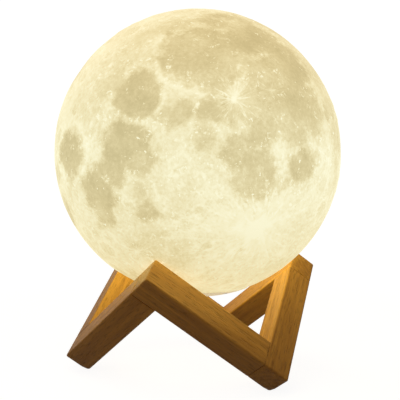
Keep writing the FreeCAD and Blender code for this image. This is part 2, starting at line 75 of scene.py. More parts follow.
def add_node(tree, kind, settings=None, **links):
    """Add a node. Settings are its properties, links its inputs by name (spaces as _), each
    either a value or another node's output socket; _0, _1 and so on are inputs by number."""
    node = tree.nodes.new(kind)
    for name, value in (settings or {}).items():
        setattr(node, name, value)
    for name, value in links.items():
        key = int(name[1:]) if name[1:].isdigit() else name.replace("_", " ")
        socket = node.inputs[key]
        if isinstance(value, bpy.types.NodeSocket):
            tree.links.new(value, socket)
        else:
            socket.default_value = value
    return node


def new_material(name):
    """An empty node material, and its node tree."""
    material = bpy.data.materials.new(name)
    material.use_nodes = True
    material.node_tree.nodes.clear()
    return material, material.node_tree


def put_mesh(name, points, faces):
    """A new object at the origin, with its place in its mesh."""
    mesh = bpy.data.meshes.new(name)
    mesh.from_pydata(points.tolist(), [], faces)
    mesh.polygons.foreach_set("use_smooth", [True] * len(mesh.polygons))
    mesh.update()
    piece = bpy.data.objects.new(name, mesh)
    bpy.context.scene.collection.objects.link(piece)
    return piece


# The table top and the wall behind it are one white sheet of paper, bent up in a wide curve.
SHEET_HALF_WIDTH = 6.0
SHEET_FRONT = -6.0
SHEET_BACK = 3.0
SHEET_CURVE = 1.5
SHEET_HEIGHT = 6.0
turn = np.radians(np.linspace(0, 90, 24))
bend_y = SHEET_BACK + SHEET_CURVE * np.sin(turn)
bend_z = SHEET_CURVE * (1 - np.cos(turn))
sheet_y = np.concatenate([[SHEET_FRONT], bend_y, [SHEET_BACK + SHEET_CURVE]])
sheet_z = np.concatenate([[0], bend_z, [SHEET_HEIGHT]])
sheet_points = np.concatenate([
    np.stack([np.full_like(sheet_y, edge), sheet_y, sheet_z], 1)
    for edge in (-SHEET_HALF_WIDTH, SHEET_HALF_WIDTH)
])
rows = len(sheet_y)
sheet_faces = [(k, k + rows, k + rows + 1, k + 1) for k in range(rows - 1)]
paper = put_mesh("paper_sheet", sheet_points, sheet_faces)

# Matt white paper. What the camera sees of it is nearly all its own white, so that it
# comes out as the plain white of the picture and still holds a light shadow. It lights
# the lamp from below as a grey table would, and from beneath it isn't there.
PAPER_SEEN_NEAR = 0.91
PAPER_SEEN_FAR = 1.0
# the distances from the lamp between which the one value runs into the other
PAPER_NEAR = 0.25
PAPER_FAR = 1.0
paper_look, tree = new_material("matt_paper")
path = add_node(tree, "ShaderNodeLightPath")
seen = add_node(tree, "ShaderNodeMath", {"operation": "MAXIMUM"},
                _0=path.outputs["Is Camera Ray"], _1=path.outputs["Is Glossy Ray"])
seen = add_node(tree, "ShaderNodeMath", {"operation": "MAXIMUM"},
                _0=seen.outputs[0], _1=path.outputs["Is Transmission Ray"])
where = add_node(tree, "ShaderNodeTexCoord")
off = add_node(tree, "ShaderNodeVectorMath", {"operation": "LENGTH"}, _0=where.outputs["Object"])
white = add_node(tree, "ShaderNodeMapRange", Value=off.outputs["Value"], From_Min=PAPER_NEAR,
                 From_Max=PAPER_FAR, To_Min=PAPER_SEEN_NEAR, To_Max=PAPER_SEEN_FAR)
strength = add_node(tree, "ShaderNodeMath", {"operation": "MULTIPLY"}, _0=seen.outputs[0],
                    _1=white.outputs[0])
matt = add_node(tree, "ShaderNodeBsdfDiffuse", Color=linear("#8E8A82"))
own_white = add_node(tree, "ShaderNodeEmission", Color=linear("#FFFFFF"),
                     Strength=strength.outputs[0])
both = add_node(tree, "ShaderNodeAddShader", _0=matt.outputs[0], _1=own_white.outputs[0])
surface = add_node(tree, "ShaderNodeNewGeometry")
nothing = add_node(tree, "ShaderNodeBsdfTransparent")
sheet_look = add_node(tree, "ShaderNodeMixShader", _0=surface.outputs["Backfacing"],
                      _1=both.outputs[0], _2=nothing.outputs[0])
add_node(tree, "ShaderNodeOutputMaterial", Surface=sheet_look.outputs[0])
paper.data.materials.append(paper_look)

# Soft light: an even white room, dimmer than it looks to the camera, and two softboxes.
WORLD_LIGHT = 0.31
world = bpy.data.worlds.new("room")
bpy.context.scene.world = world
world.use_nodes = True
tree = world.node_tree
tree.nodes.clear()
path = add_node(tree, "ShaderNodeLightPath")
strength = add_node(tree, "ShaderNodeMapRange", Value=path.outputs["Is Camera Ray"],
                    To_Min=WORLD_LIGHT, To_Max=1.0)
room = add_node(tree, "ShaderNodeBackground", Color=linear("#FFFFFF"), Strength=strength.outputs[0])
add_node(tree, "ShaderNodeOutputWorld", Surface=room.outputs[0])


def softbox(name, place, aim, width, watts, colour):
    """A square lamp that looks from its place towards a point."""
    lamp = bpy.data.lights.new(name, "AREA")
    lamp.shape = "SQUARE"
    lamp.size = width
    lamp.energy = watts
    lamp.color = linear(colour)[:3]
    box = bpy.data.objects.new(name, lamp)
    line = Vector(aim) - Vector(place)
    aimed = line.to_track_quat("-Z", "Y").to_matrix().to_4x4()
    box.matrix_world = Matrix.Translation(place) @ aimed
    bpy.context.scene.collection.objects.link(box)


softbox("high_softbox", (0.15, -0.75, 1.15), (0, 0, 0.06), 0.9, 1.1, "#FFFAF2")
softbox("side_softbox", (-0.9, 0.35, 0.9), (0, 0, 0.06), 0.8, 2.0, "#FFF8EE")

# ------------------------------------------------------------------ the stand's bars
# Six square beech bars, planed, butted at the corners, glued on dowels and stained brown.
# They follow a zigzag of six edges round a cube that stands on its corner, so the stand
# has three peaks, which carry the ball, and three feet, each ground flat.
CUBE_SIDE = 0.082
BAR_WIDTH = 0.014
BAR_LENGTH = CUBE_SIDE - BAR_WIDTH
FOOT_TRIM = 0.0015
EDGE_ROUND = 0.0009
JOINT_ROUND = 0.00025
FACE_CORNER = 0.0004
CUBE_HEIGHT = CUBE_SIDE * math.sqrt(3) / 2 - BAR_LENGTH / math.sqrt(3) - FOOT_TRIM
CUBE_CENTRE = np.array([0, 0, CUBE_HEIGHT])
# the cube's three edges, from the corner it stands on: each leans out by root 2/3 of its
# length and rises by root 1/3
edge_angles = np.radians([210, 330, 90])
lean, rise = math.sqrt(2 / 3), math.sqrt(1 / 3)
CUBE_EDGES = np.stack([lean * np.cos(edge_angles), lean * np.sin(edge_angles), np.full(3, rise)], 1)
ZIGZAG = np.array([(1, 1, -1), (-1, 1, -1), (-1, 1, 1), (-1, -1, 1), (1, -1, 1), (1, -1, -1)])


def rounded_square(half, radius):
    """64 points round a square of half-width half whose corners have that radius: each quarter
    of them runs along half a side, round a corner at half - radius plus radius times the
    sine and the cosine, and along half the next side."""
    reach = half - radius
    turn = np.linspace(0, math.pi / 2, 11)
    flat = reach * np.array([0.5, 0.97])
    y = np.concatenate([np.full(3, half), reach + radius * np.cos(turn), flat[::-1]])
    z = np.concatenate([[0], flat, reach + radius * np.sin(turn), np.full(2, half)])
    quarter = np.stack([y, z], 1)
    turns = ((1, 0), (0, 1), (-1, 0), (0, -1))
    return np.concatenate([quarter @ np.array([(c, s), (-s, c)]) for c, s in turns])


def planed_bar(length, width, first_round, last_round, side_round, along=70):
    """A square bar along x. Rings of a rounded square are carried from the middle of one end
    face to the middle of the other: over an end's rounding, the ring at angle a stands
    round * (1 - cos a) in from the end, and round * (1 - sin a) in from the side."""
    half = width / 2

    def end_rings(end_round):
        """Pairs of a ring's distance from the end and the ring, from the middle outwards."""
        rings = [(0.0, rounded_square((half - end_round) * share, FACE_CORNER * share))
                 for share in (0.25, 0.5, 0.75, 1.0)]
        for a in np.linspace(0, math.pi / 2, 6)[1:]:
            inset = end_round * (1 - math.sin(a))
            ring = rounded_square(half - inset, side_round - inset)
            rings.append((end_round * (1 - math.cos(a)), ring))
        return rings

    middle = rounded_square(half, side_round)
    rings = end_rings(first_round)
    rings += [(x, middle) for x in np.linspace(first_round, length - last_round, along)[1:-1]]
    rings += [(length - depth, ring) for depth, ring in reversed(end_rings(last_round))]
    blocks = [np.column_stack([np.full(len(ring), x), ring]) for x, ring in rings]
    points = np.concatenate([[[0, 0, 0]], *blocks, [[length, 0, 0]]])
    return points, closed_tube_faces(len(blocks), len(middle))


def closed_tube_faces(rings, around):
    """Faces of a tube whose rings follow each other from a first pole to a last one."""
    k = np.arange(around)
    after = (k + 1) % around
    faces = [(0, 1 + b, 1 + a) for a, b in zip(k, after)]
    for r in range(rings - 1):
        low, high = 1 + r * around, 1 + (r + 1) * around
        faces += np.stack([low + k, low + after, high + after, high + k], 1).tolist()
    last = 1 + (rings - 1) * around
    pole = 1 + rings * around
    faces += [(last + a, last + b, pole) for a, b in zip(k, after)]
    return faces


# Stained beech, planed and oiled. The stain gathers in the pores, so fine dark dashes run
# along the grain and show as dots on an end; the year rings and the streaks are faint.
wood_look, tree = new_material("stained_beech_oiled")
grain = add_node(tree, "ShaderNodeAttribute", {"attribute_name": "grain"})
# the year rings are 2.4 mm apart, round a heart that lies beside the bar, and wander by a
# millimetre or so
YEAR_RING = 0.0024
ring_warp = add_node(tree, "ShaderNodeMapping", Vector=grain.outputs["Vector"],
                     Scale=(12.0, 90.0, 90.0))
ring_noise = add_node(tree, "ShaderNodeTexNoise", Vector=ring_warp.outputs[0], Scale=1.0,
                      Detail=3.0)
ring_push = add_node(tree, "ShaderNodeVectorMath", {"operation": "SCALE"},
                     _0=ring_noise.outputs["Color"], Scale=0.0030)
ring_place = add_node(tree, "ShaderNodeVectorMath", {"operation": "ADD"},
                      _0=grain.outputs["Vector"], _1=ring_push.outputs[0])
flat = add_node(tree, "ShaderNodeVectorMath", {"operation": "MULTIPLY"},
                _0=ring_place.outputs[0], _1=(0.0, 1.0, 1.0))
heart = add_node(tree, "ShaderNodeVectorMath", {"operation": "LENGTH"}, _0=flat.outputs[0])
ring_wave = add_node(tree, "ShaderNodeMath", {"operation": "MULTIPLY"},
                     _0=heart.outputs["Value"], _1=2 * math.pi / YEAR_RING)
ring_wave = add_node(tree, "ShaderNodeMath", {"operation": "SINE"}, _0=ring_wave.outputs[0])
# pores and rays: dashes 0.6 mm wide and 6 mm long; real ones are 0.2 mm wide, which would
# not show
dash_place = add_node(tree, "ShaderNodeMapping", Vector=grain.outputs["Vector"],
                      Scale=(170.0, 1600.0, 1600.0))
dashes = add_node(tree, "ShaderNodeTexNoise", Vector=dash_place.outputs[0], Scale=1.0, Detail=2.0,
                  Roughness=0.6)
# broad streaks of stain, 3 mm wide and 50 mm long
streak_place = add_node(tree, "ShaderNodeMapping", Vector=grain.outputs["Vector"],
                        Scale=(20.0, 330.0, 330.0))
streaks = add_node(tree, "ShaderNodeTexNoise", Vector=streak_place.outputs[0], Scale=1.0,
                   Detail=4.0, Roughness=0.55)
tone = add_node(tree, "ShaderNodeValToRGB", Fac=streaks.outputs["Fac"])
stops = tone.color_ramp.elements
stops[0].position, stops[0].color = 0.30, linear("#A16824")
stops[1].position, stops[1].color = 0.72, linear("#C08334")
rings_seen = add_node(tree, "ShaderNodeMapRange", Value=ring_wave.outputs[0], From_Min=-1.0,
                      From_Max=1.0, To_Min=0.93, To_Max=1.05)
dash_seen = add_node(tree, "ShaderNodeMapRange", Value=dashes.outputs["Fac"], From_Min=0.33,
                     From_Max=0.47, To_Min=0.71, To_Max=1.0)
shade = add_node(tree, "ShaderNodeMath", {"operation": "MULTIPLY"},
                 _0=rings_seen.outputs[0], _1=dash_seen.outputs[0])
# painted light and shade: the wood is painted lighter towards the peaks, where the
# ball's glow falls, and darker towards the feet
stand_place = add_node(tree, "ShaderNodeTexCoord")
stand_split = add_node(tree, "ShaderNodeSeparateXYZ", Vector=stand_place.outputs["Object"])
PEAK_HEIGHT = 0.060
painted_glow_by_height = add_node(tree, "ShaderNodeMapRange", Value=stand_split.outputs["Z"], From_Min=0.0,
                 From_Max=PEAK_HEIGHT, To_Min=0.88, To_Max=1.24)
shade = add_node(tree, "ShaderNodeMath", {"operation": "MULTIPLY"}, _0=shade.outputs[0],
                 _1=painted_glow_by_height.outputs[0])
wood_colour = add_node(tree, "ShaderNodeVectorMath", {"operation": "SCALE"},
                       _0=tone.outputs["Color"], Scale=shade.outputs[0])
relief = add_node(tree, "ShaderNodeBump", Strength=0.8, Distance=0.0003,
                  Height=dash_seen.outputs[0])
gloss = add_node(tree, "ShaderNodeMapRange", Value=dash_seen.outputs[0], From_Min=0.6, From_Max=1.0,
                 To_Min=0.66, To_Max=0.52)
wood = add_node(tree, "ShaderNodeBsdfPrincipled", Base_Color=wood_colour.outputs[0],
                Roughness=gloss.outputs[0], Normal=relief.outputs[0], Specular_IOR_Level=0.15)
add_node(tree, "ShaderNodeOutputMaterial", Surface=wood.outputs[0])

# Each bar runs from its own corner to the next, past the bar before it, and butts on the
# one after; each is sawn from another place beside the heart of the tree.
bars = []
chance = np.random.default_rng(21)
for n, here in enumerate(ZIGZAG):
    ahead, behind = ZIGZAG[(n + 1) % len(ZIGZAG)], ZIGZAG[n - 1]
    corner = CUBE_CENTRE + here @ CUBE_EDGES * CUBE_SIDE / 2
    to_next = (ahead - here) @ CUBE_EDGES / 2
    to_last = (behind - here) @ CUBE_EDGES / 2
    empty = int(np.flatnonzero((here == ahead) & (here == behind))[0])
    to_empty = -here[empty] * CUBE_EDGES[empty]
    start = corner + (to_last + to_empty) * BAR_WIDTH / 2
    local, faces = planed_bar(BAR_LENGTH, BAR_WIDTH, EDGE_ROUND, JOINT_ROUND, EDGE_ROUND)
    placed = start + local @ np.stack([to_next, to_last, np.cross(to_next, to_last)])
    placed[:, 2] = np.maximum(placed[:, 2], 0.0)
    bar = put_mesh(f"wood_bar_{n + 1}", placed, faces)
    sawn_at = [chance.uniform(0, 1), chance.uniform(0.012, 0.02), chance.uniform(-0.01, 0.01)]
    grain_at = local + sawn_at
    attribute = bar.data.attributes.new("grain", "FLOAT_VECTOR", "POINT")
    attribute.data.foreach_set("vector", grain_at.astype(np.float32).ravel())
    bar.data.materials.append(wood_look)
    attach(bar, "stand")
    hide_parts(f"stand_bar_{n + 1}")
    bars.append(bar)

# ------------------------------------------------------------------ the dowels
# Pins of plain beech, 6 mm thick and 18 mm long, one in each corner of the stand. They
# are pressed half into each of the two bars with glue, and nothing of them shows.
pin_look, tree = new_material("bare_beech_pin")
# Beech with no stain: pale tan, and flecked where the rays are cut, 1.5 mm long.
where = add_node(tree, "ShaderNodeTexCoord")
flecks = add_node(tree, "ShaderNodeTexNoise", Vector=where.outputs["Object"], Scale=650.0,
                  Detail=3.0)
pin_tone = add_node(tree, "ShaderNodeMix", {"data_type": "RGBA"}, Factor=flecks.outputs["Fac"],
                    _6=linear("#D9B183"), _7=linear("#B98A5C"))
pin_bump = add_node(tree, "ShaderNodeBump", Strength=0.3, Distance=0.0001,
                    Height=flecks.outputs["Fac"])
pin = add_node(tree, "ShaderNodeBsdfPrincipled", Base_Color=pin_tone.outputs[2], Roughness=0.7,
               Normal=pin_bump.outputs[0])
add_node(tree, "ShaderNodeOutputMaterial", Surface=pin.outputs[0])


def finish_nodes(material, *names):
    """Give a material to pieces that are shown as the frame brings them."""
    for name in names:
        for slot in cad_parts[name].material_slots:
            slot.material = material


finish_nodes(pin_look, "stand_dowels")

# ------------------------------------------------------------------ the moon
# A thin ball of white plastic, printed in one piece with a round mouth underneath. Its
# outside carries the moon's seas and craters in low relief, and it glows from within.
BALL_RADIUS = 0.075
SEAT_GAP = 0.0003
SHELL_WALL = 0.0016
MOUTH_RADIUS = 0.028
MOON_AROUND = 448
MOON_DOWN = 205
RELIEF_DEPTH = 0.0007
# The ball rests on the rounded tips of the three peaks. From the cube's centre, along its
# three edges, a tip lies tip_across out on two and tip_down back on the third, and the
# ball's centre lies ball_seat out on all three.
tip_across = CUBE_SIDE / 2 - EDGE_ROUND
tip_down = CUBE_SIDE / 2 - BAR_WIDTH + EDGE_ROUND
seat_reach = BALL_RADIUS + SEAT_GAP + EDGE_ROUND
tip_root = math.sqrt(3 * seat_reach ** 2 - 2 * (tip_across + tip_down) ** 2)
ball_seat = (2 * tip_across - tip_down + tip_root) / 3
BALL_CENTRE = np.array([0, 0, CUBE_HEIGHT + ball_seat * math.sqrt(3)])
# The middle of the print's near side is turned this many degrees from the front towards +X
# and raised by this many, and the print's north leans this many to the left.
PRINT_TURN = 19.21
PRINT_RISE = 3.81
PRINT_LEAN = 23.36
# The picture shows the moon as it looks from far away, though the camera stands close. So
# the print is drawn together round its front, which is turned and raised by these degrees,
# by this share of the ball's radius.
FRONT_TURN = 18.81
FRONT_RISE = -2.95
PRINT_PULL = 0.208


def facing(turn, rise):
    """The direction turned so many degrees from the front, -Y, towards +X, and raised by so
    many from level: cos rise sin turn, -cos rise cos turn, sin rise."""
    t, r = math.radians(turn), math.radians(rise)
    return np.array([math.cos(r) * math.sin(t), -math.cos(r) * math.cos(t), math.sin(r)])


near_side = facing(PRINT_TURN, PRINT_RISE)
level_side = facing(PRINT_TURN + 90, 0)
upright = np.cross(near_side, level_side)
cos_lean, sin_lean = math.cos(math.radians(PRINT_LEAN)), math.sin(math.radians(PRINT_LEAN))
# the print's own axes: one side, its north, and the middle of its near side
PRINT_AXES = np.stack([
    level_side * cos_lean + upright * sin_lean,
    upright * cos_lean - level_side * sin_lean,
    near_side,
])
PRINT_FRONT = facing(FRONT_TURN, FRONT_RISE)


def print_point(latitude, longitude):
    """A place on the print as a direction in the part's frame: cos north sin east, sin north,
    cos north cos east along the print's axes. East and west are swapped, as in the picture."""
    north, east = np.radians(latitude), -np.radians(longitude)
    parts = [np.cos(north) * np.sin(east), np.sin(north), np.cos(north) * np.cos(east)]
    return np.stack(parts, -1) @ PRINT_AXES


def print_compass(latitude, longitude):
    """East, north and outward at a place on the print, at right angles to each other."""
    middle = print_point(latitude, longitude)
    north = PRINT_AXES[1] - middle * (PRINT_AXES[1] @ middle)
    north /= np.linalg.norm(north)
    return np.cross(middle, north), north, middle


def print_offset(points, latitude, longitude):
    """Degrees east and north from a place on the print to each point, along great circles."""
    east, north, middle = print_compass(latitude, longitude)
    x, y = points @ east, points @ north
    away = np.degrees(np.arccos(np.clip(points @ middle, -1, 1)))
    flat = np.maximum(np.hypot(x, y), 1e-9)
    return away * x / flat, away * y / flat


LATTICE = 16


def cloudy(points, spacing, octaves, seed):
    """Smooth random values about 0: a lattice of random numbers, blended between its points
    by 3t^2 - 2t^3, and finer ones added at half the spacing and 0.55 times the height. The
    spacing is a share of the ball's radius."""
    lattice = np.random.default_rng(seed).uniform(-1, 1, (LATTICE, LATTICE, LATTICE))
    total = np.zeros(len(points))
    for octave in range(octaves):
        place = points / spacing * 2 ** octave + 7.3 * octave
        cell = np.floor(place).astype(int)
        t = place - cell
        t = t * t * (3 - 2 * t)
        for corner in np.ndindex(2, 2, 2):
            share = np.prod(np.where(corner, t, 1 - t), axis=1)
            total += 0.55 ** octave * share * lattice[tuple(((cell + corner) % LATTICE).T)]
    return total


# the seas: latitude, longitude, half their width and height in degrees, turn in degrees, and
# depth of tone
SEAS = [
    (37, -17, 18, 13, 0, 0.66), (24, -21, 15, 8, 0, 0.52), (44, -31, 5, 4, 0, 0.66),
    (57, -4, 28, 3.4, 0, 0.26), (27.5, 18.5, 10.5, 10.5, 0, 0.84), (38, 31, 8, 5, 0, 0.42),
    (9.5, 31, 11.5, 10, 15, 0.92), (1.5, 27, 8, 6.5, 20, 0.80), (2, 41, 8, 5, 40, 0.76),
    (17.2, 63.5, 9.4, 8.4, 0, 0.90), (-3, 53, 8.5, 10, 0, 0.84), (-10, 55, 6, 8, 15, 0.76),
    (-19.5, 35.5, 6.0, 6.0, 0, 0.72), (-9, 31, 4, 5, 0, 0.30), (13, 5, 6.5, 5, 0, 0.60),
    (9, -9, 7, 6, 0, 0.72), (0.5, -1.5, 5.5, 4, 0, 0.50), (5, -27, 14, 8, 0, 0.46),
    (-4, -31, 13, 7, 0, 0.50), (-8, -23, 7, 6, 0, 0.66), (-22, -17.5, 10, 11.5, 0, 0.68),
    (-12, -12, 5, 7, 20, 0.62), (-24.5, -43.5, 7.2, 7.0, 0, 0.80), (-10, -41, 8, 7, 0, 0.54),
    (5, -46, 14, 12, 0, 0.72), (19, -55, 13, 15, 0, 0.94), (33, -50, 15, 12, 0, 0.82),
    (47, -52, 13, 8, 20, 0.60), (-3, -56, 10, 11, 0, 0.66), (-31, -28, 5, 4, 0, 0.50),
    (15, -38, 9, 8, 0, 0.50), (18, -14, 7, 4, 0, 0.40), (51.6, -9.4, 2.6, 1.9, 0, 1.00),
    (-5.5, -68.5, 2.6, 3.6, 0, 0.95), (57, 81, 4, 5, 0, 0.70), (13, 86, 6, 4, 0, 0.55),
    (-2, 87, 6, 6, 0, 0.62), (6, 68, 3, 3, 0, 0.45), (-42, 92, 12, 9, 0, 0.40),
    (-19, -93, 5, 5, 0, 0.75), (27, 148, 6, 4.5, 0, 0.90), (-34, 164, 5, 5, 0, 0.75),
    (-20, 129, 3, 3, 0, 1.05), (-36, -151, 5, 4, 0, 0.60), (-52, -172, 26, 20, 0, 0.26),
    (-38, 179, 3.5, 3.5, 0, 0.60), (-58, 163, 5, 4, 0, 0.55), (2, 140, 12, 5, 30, 0.20),
    (45, 27, 4, 3, 0, 0.40), (-33, 44, 9, 6, 0, 0.30), (-44, 32, 9, 5, 0, 0.18),
    (31, 46, 5, 4, 0, 0.22), (8, -78, 10, 40, 0, 0.34),
]
# young craters with bright rays: latitude, longitude, halo and longest ray in degrees, and
# strength; the first ten are the great ones of the near side
NEAR_RAYED = 10
RAYED = [
    (-47.0, -14.5, 15.0, 62, 0.85), (9.6, -20.1, 4.0, 22, 1.00), (8.1, -38.0, 3.2, 12, 0.60),
    (23.7, -47.5, 1.8, 9, 0.70), (16.1, 46.8, 1.8, 9, 0.70), (-8.9, 61.0, 2.4, 9, 0.55),
    (-32.5, 54.2, 2.4, 13, 0.75), (73.5, -10.0, 3.0, 20, 0.60), (-24.5, -63.8, 2.4, 11, 0.70),
    (61.7, 50.3, 2.2, 12, 0.60), (22.4, -163.0, 3.0, 22, 0.80), (36.0, 103.0, 2.6, 26, 0.90),
    (-18.0, -113.0, 2.6, 18, 0.70), (5.0, 120.5, 2.6, 10, 0.55), (-10.3, -164.5, 2.6, 16, 0.70),
    (-49.6, 176.0, 2.4, 14, 0.45), (40.0, 22.0, 1.6, 6, 0.45), (-5.7, 26.5, 1.4, 5, 0.45),
    (38.0, -33.0, 1.4, 5, 0.45), (-66.6, -39.0, 3.0, 10, 0.45),
]
# mountain walls round the great seas: latitude and longitude of the middle, radius in
# degrees, the first and last bearing, and strength
WALLS = [
    (35, -17, 19.0, 85, 165, 0.55), (35, -17, 18.0, 20, 80, 0.35), (35, -17, 19.5, 195, 230, 0.4),
    (17.3, 63, 12.0, 0, 360, 0.35), (27.5, 18.5, 12.0, 150, 265, 0.4),
    (-15.5, 35, 9.0, 150, 320, 0.3), (-24, -42.5, 9.4, 200, 400, 0.3), (-19, -93, 12, 0, 360, 0.4),
    (-19, -93, 17, 0, 360, 0.3), (27, 148, 8, 0, 360, 0.3),
]


def ball_directions(polar):
    """Directions on a grid of polar angles p and compass angles a: sin p cos a, sin p sin a,
    cos p, ring after ring."""
    compass = np.arange(MOON_AROUND) * 2 * math.pi / MOON_AROUND
    p, a = [grid.ravel() for grid in np.meshgrid(polar, compass, indexing="ij")]
    return np.stack([np.sin(p) * np.cos(a), np.sin(p) * np.sin(a), np.cos(p)], 1)


lip = math.pi - math.asin(MOUTH_RADIUS / BALL_RADIUS)
outward = np.concatenate([[[0, 0, 1]], ball_directions(np.linspace(0, lip, MOON_DOWN)[1:])])
globe = outward - PRINT_PULL * PRINT_FRONT
globe /= np.linalg.norm(globe, axis=1)[:, None]

# how far each point lies inside a coast, in degrees, down to well out on the land; where
# two seas meet their tones run into each other over about 4 degrees
FAR_INLAND = -30.0
sea_edge = np.full(len(outward), FAR_INLAND)
weights = np.zeros(len(outward))
sea_tone = np.zeros(len(outward))
for latitude, longitude, wide, high, turned, depth in SEAS:
    x, y = print_offset(globe, latitude, longitude)
    t = math.radians(turned)
    x, y = x * math.cos(t) + y * math.sin(t), y * math.cos(t) - x * math.sin(t)
    inside = (1 - np.hypot(x / wide, y / high)) * min(wide, high)
    sea_edge = np.maximum(sea_edge, inside)
    weight = np.exp(np.maximum(inside, FAR_INLAND) / 1.6)
    weights += weight
    sea_tone += weight * depth
sea_tone /= weights

# A young crater's halo fades as exp(-(distance / halo)^1.4). It has 16 rays, and one more for
# each 3 degrees of the longest. They leave it at random bearings, grow to two and a half
# times their width, and fade out evenly along their length.
HALO_SHARE = 0.85
RAY_SHARE = 0.34
chance = np.random.default_rng(5)
patches = cloudy(outward, spacing=0.05, octaves=3, seed=8)
rays = np.zeros(len(outward))
for latitude, longitude, halo, longest, power in RAYED:
    x, y = print_offset(globe, latitude, longitude)
    away = np.hypot(x, y)
    bearing = np.arctan2(x, y)
    rays += power * HALO_SHARE * np.exp(-(away / halo) ** 1.4) * (1 + 0.4 * patches)
    for _ in range(int(16 + longest / 3)):
        aim = chance.uniform(-math.pi, math.pi)
        length = longest * chance.uniform(0.25, 1.0)
        width = halo * chance.uniform(0.05, 0.16)
        across = np.abs(np.sin(bearing - aim)) * away
        along = np.cos(bearing - aim) * away
        spread = width * (1 + 1.5 * along / length)
        fade = np.clip(1 - along / length, 0, 1) * (along > 0)
        broken = np.clip(0.8 + 1.2 * patches, 0, 1.5)
        rays += power * RAY_SHARE * np.exp(-(across / spread) ** 2) * fade * broken

# the walls are ridges about 2.6 degrees wide on rough arcs, and nearly twice as bright as rays
WALL_SHARE = 1.8
walls = np.zeros(len(outward))
rough = cloudy(outward, spacing=0.06, octaves=3, seed=17)
for latitude, longitude, radius, first, last, power in WALLS:
    x, y = print_offset(globe, latitude, longitude)
    bearing = np.degrees(np.arctan2(x, y)) % 360
    spanned = ((bearing - first) % 360) <= (last - first)
    away = np.hypot(x, y) + 1.6 * rough
    walls = np.maximum(walls, spanned * power * np.exp(-((away - radius) / 1.3) ** 2))
rays += WALL_SHARE * walls

# Craters: many small and few large, their radii in degrees, and hardly any in the seas. At
# d radii from its middle, a bowl is flat to a half, rises as 1.25 d^2 - 1 to its rim and
# falls away as exp(-(d - 1) / 0.28) outside.
CRATERS = 900
SMALLEST_CRATER = 1.15
LARGEST_CRATER = 7.0
CRATER_REACH = 1.8
# the ground rolls a little, rises along the walls and lies lower in the seas
height = 0.10 * cloudy(outward, spacing=0.22, octaves=5, seed=3) + 0.9 * walls
in_sea = np.clip((sea_edge + 1.5) / 3, 0, 1) * np.clip(sea_tone * 1.6, 0, 1)
height -= 0.35 * in_sea
rims = np.zeros(len(outward))
for _ in range(CRATERS):
    middle = chance.normal(size=3)
    middle /= np.linalg.norm(middle)
    radius = SMALLEST_CRATER * chance.uniform(0.0, 1.0) ** -0.55
    if radius > LARGEST_CRATER:
        continue
    near = np.flatnonzero(outward @ middle > math.cos(math.radians(radius * CRATER_REACH)))
    if len(near) == 0 or in_sea[near].mean() > chance.uniform(0.05, 0.6):
        continue
    away = np.degrees(np.arccos(np.clip(outward[near] @ middle, -1, 1))) / radius
    away += 0.06 * rough[near]
    pit = np.maximum(away ** 2, 0.25) * 1.25 - 1.0
    bowl = np.where(away < 1, pit, 0.25 * np.exp(-((away - 1) / 0.28)))
    fresh = chance.uniform(0.35, 1.0)
    tall = min(radius, 3.0) / 3.0
    # a new bowl wipes away half of the older ground in it
    height[near] = height[near] * np.where(away < 1, 0.5, 1) + 0.42 * fresh * tall * bowl
    rim = np.exp(-((away - 1.0) / 0.16) ** 2)
    rims[near] += fresh * 0.5 * (rim - 0.55 * (away < 0.85))
# the young craters themselves, a little over a quarter of their halo's radius
for latitude, longitude, halo, longest, power in RAYED:
    x, y = print_offset(globe, latitude, longitude)
    away = np.hypot(x, y) / (halo * 0.28)
    bowl = np.where(away < 1, away ** 2 - 0.8, 0.2 * np.exp(-(away - 1) / 0.4))
    height += 0.25 * bowl * (away < 3)
    rims += 0.5 * np.exp(-((away - 1.0) / 0.3) ** 2)
# 0 at the highest rim, and -1 in the deepest fiftieth of the ground
height = np.clip((height - height.max()) / (height.max() - np.percentile(height, 2)), -1, 0)

outer = BALL_CENTRE + outward * (BALL_RADIUS + RELIEF_DEPTH * height)[:, None]
# the lip stays round, so that the base fits it
last_ring = slice(len(outer) - MOON_AROUND, len(outer))
outer[last_ring] = BALL_CENTRE + outward[last_ring] * BALL_RADIUS
inner_radius = BALL_RADIUS - SHELL_WALL
inner_lip = math.pi - math.asin(MOUTH_RADIUS / inner_radius)
inner_polar = np.linspace(inner_lip, 0, 12)[:-1]
inner = BALL_CENTRE + inner_radius * ball_directions(inner_polar)
moon_points = np.concatenate([outer, inner, [BALL_CENTRE + [0, 0, inner_radius]]])
moon_rings = MOON_DOWN - 1 + len(inner_polar)
# the rings run downwards, so each face is turned round to look outwards
moon_faces = [face[::-1] for face in closed_tube_faces(moon_rings, MOON_AROUND)]
ball = put_mesh("printed_moon", moon_points, moon_faces)
# What the print shows at each point: how far inside a coast it lies, as 0.5 plus a share of
# 16 degrees; the tone of the nearest seas; the rays; and 0.5 plus the craters' rims.
COAST_SPAN = 16
chart = np.zeros((len(moon_points), 4))
chart[:len(outer)] = np.stack([0.5 + sea_edge / COAST_SPAN, sea_tone, rays, 0.5 + rims], 1)
attribute = ball.data.attributes.new("chart", "FLOAT_COLOR", "POINT")
attribute.data.foreach_set("color", chart.astype(np.float32).ravel())

# White PLA, printed in layers too fine to see and lit from inside. The light comes through
# warm and creamy, dimmer where the print is thicker (the seas), brighter along rays and rims.
moon_look, tree = new_material("printed_pla_lit_from_inside")
chart_node = add_node(tree, "ShaderNodeAttribute", {"attribute_name": "chart"})
channels = add_node(tree, "ShaderNodeSeparateColor", Color=chart_node.outputs["Color"])
where = add_node(tree, "ShaderNodeTexCoord")
centred = add_node(tree, "ShaderNodeMapping", Vector=where.outputs["Object"],
                   Location=tuple(-BALL_CENTRE))
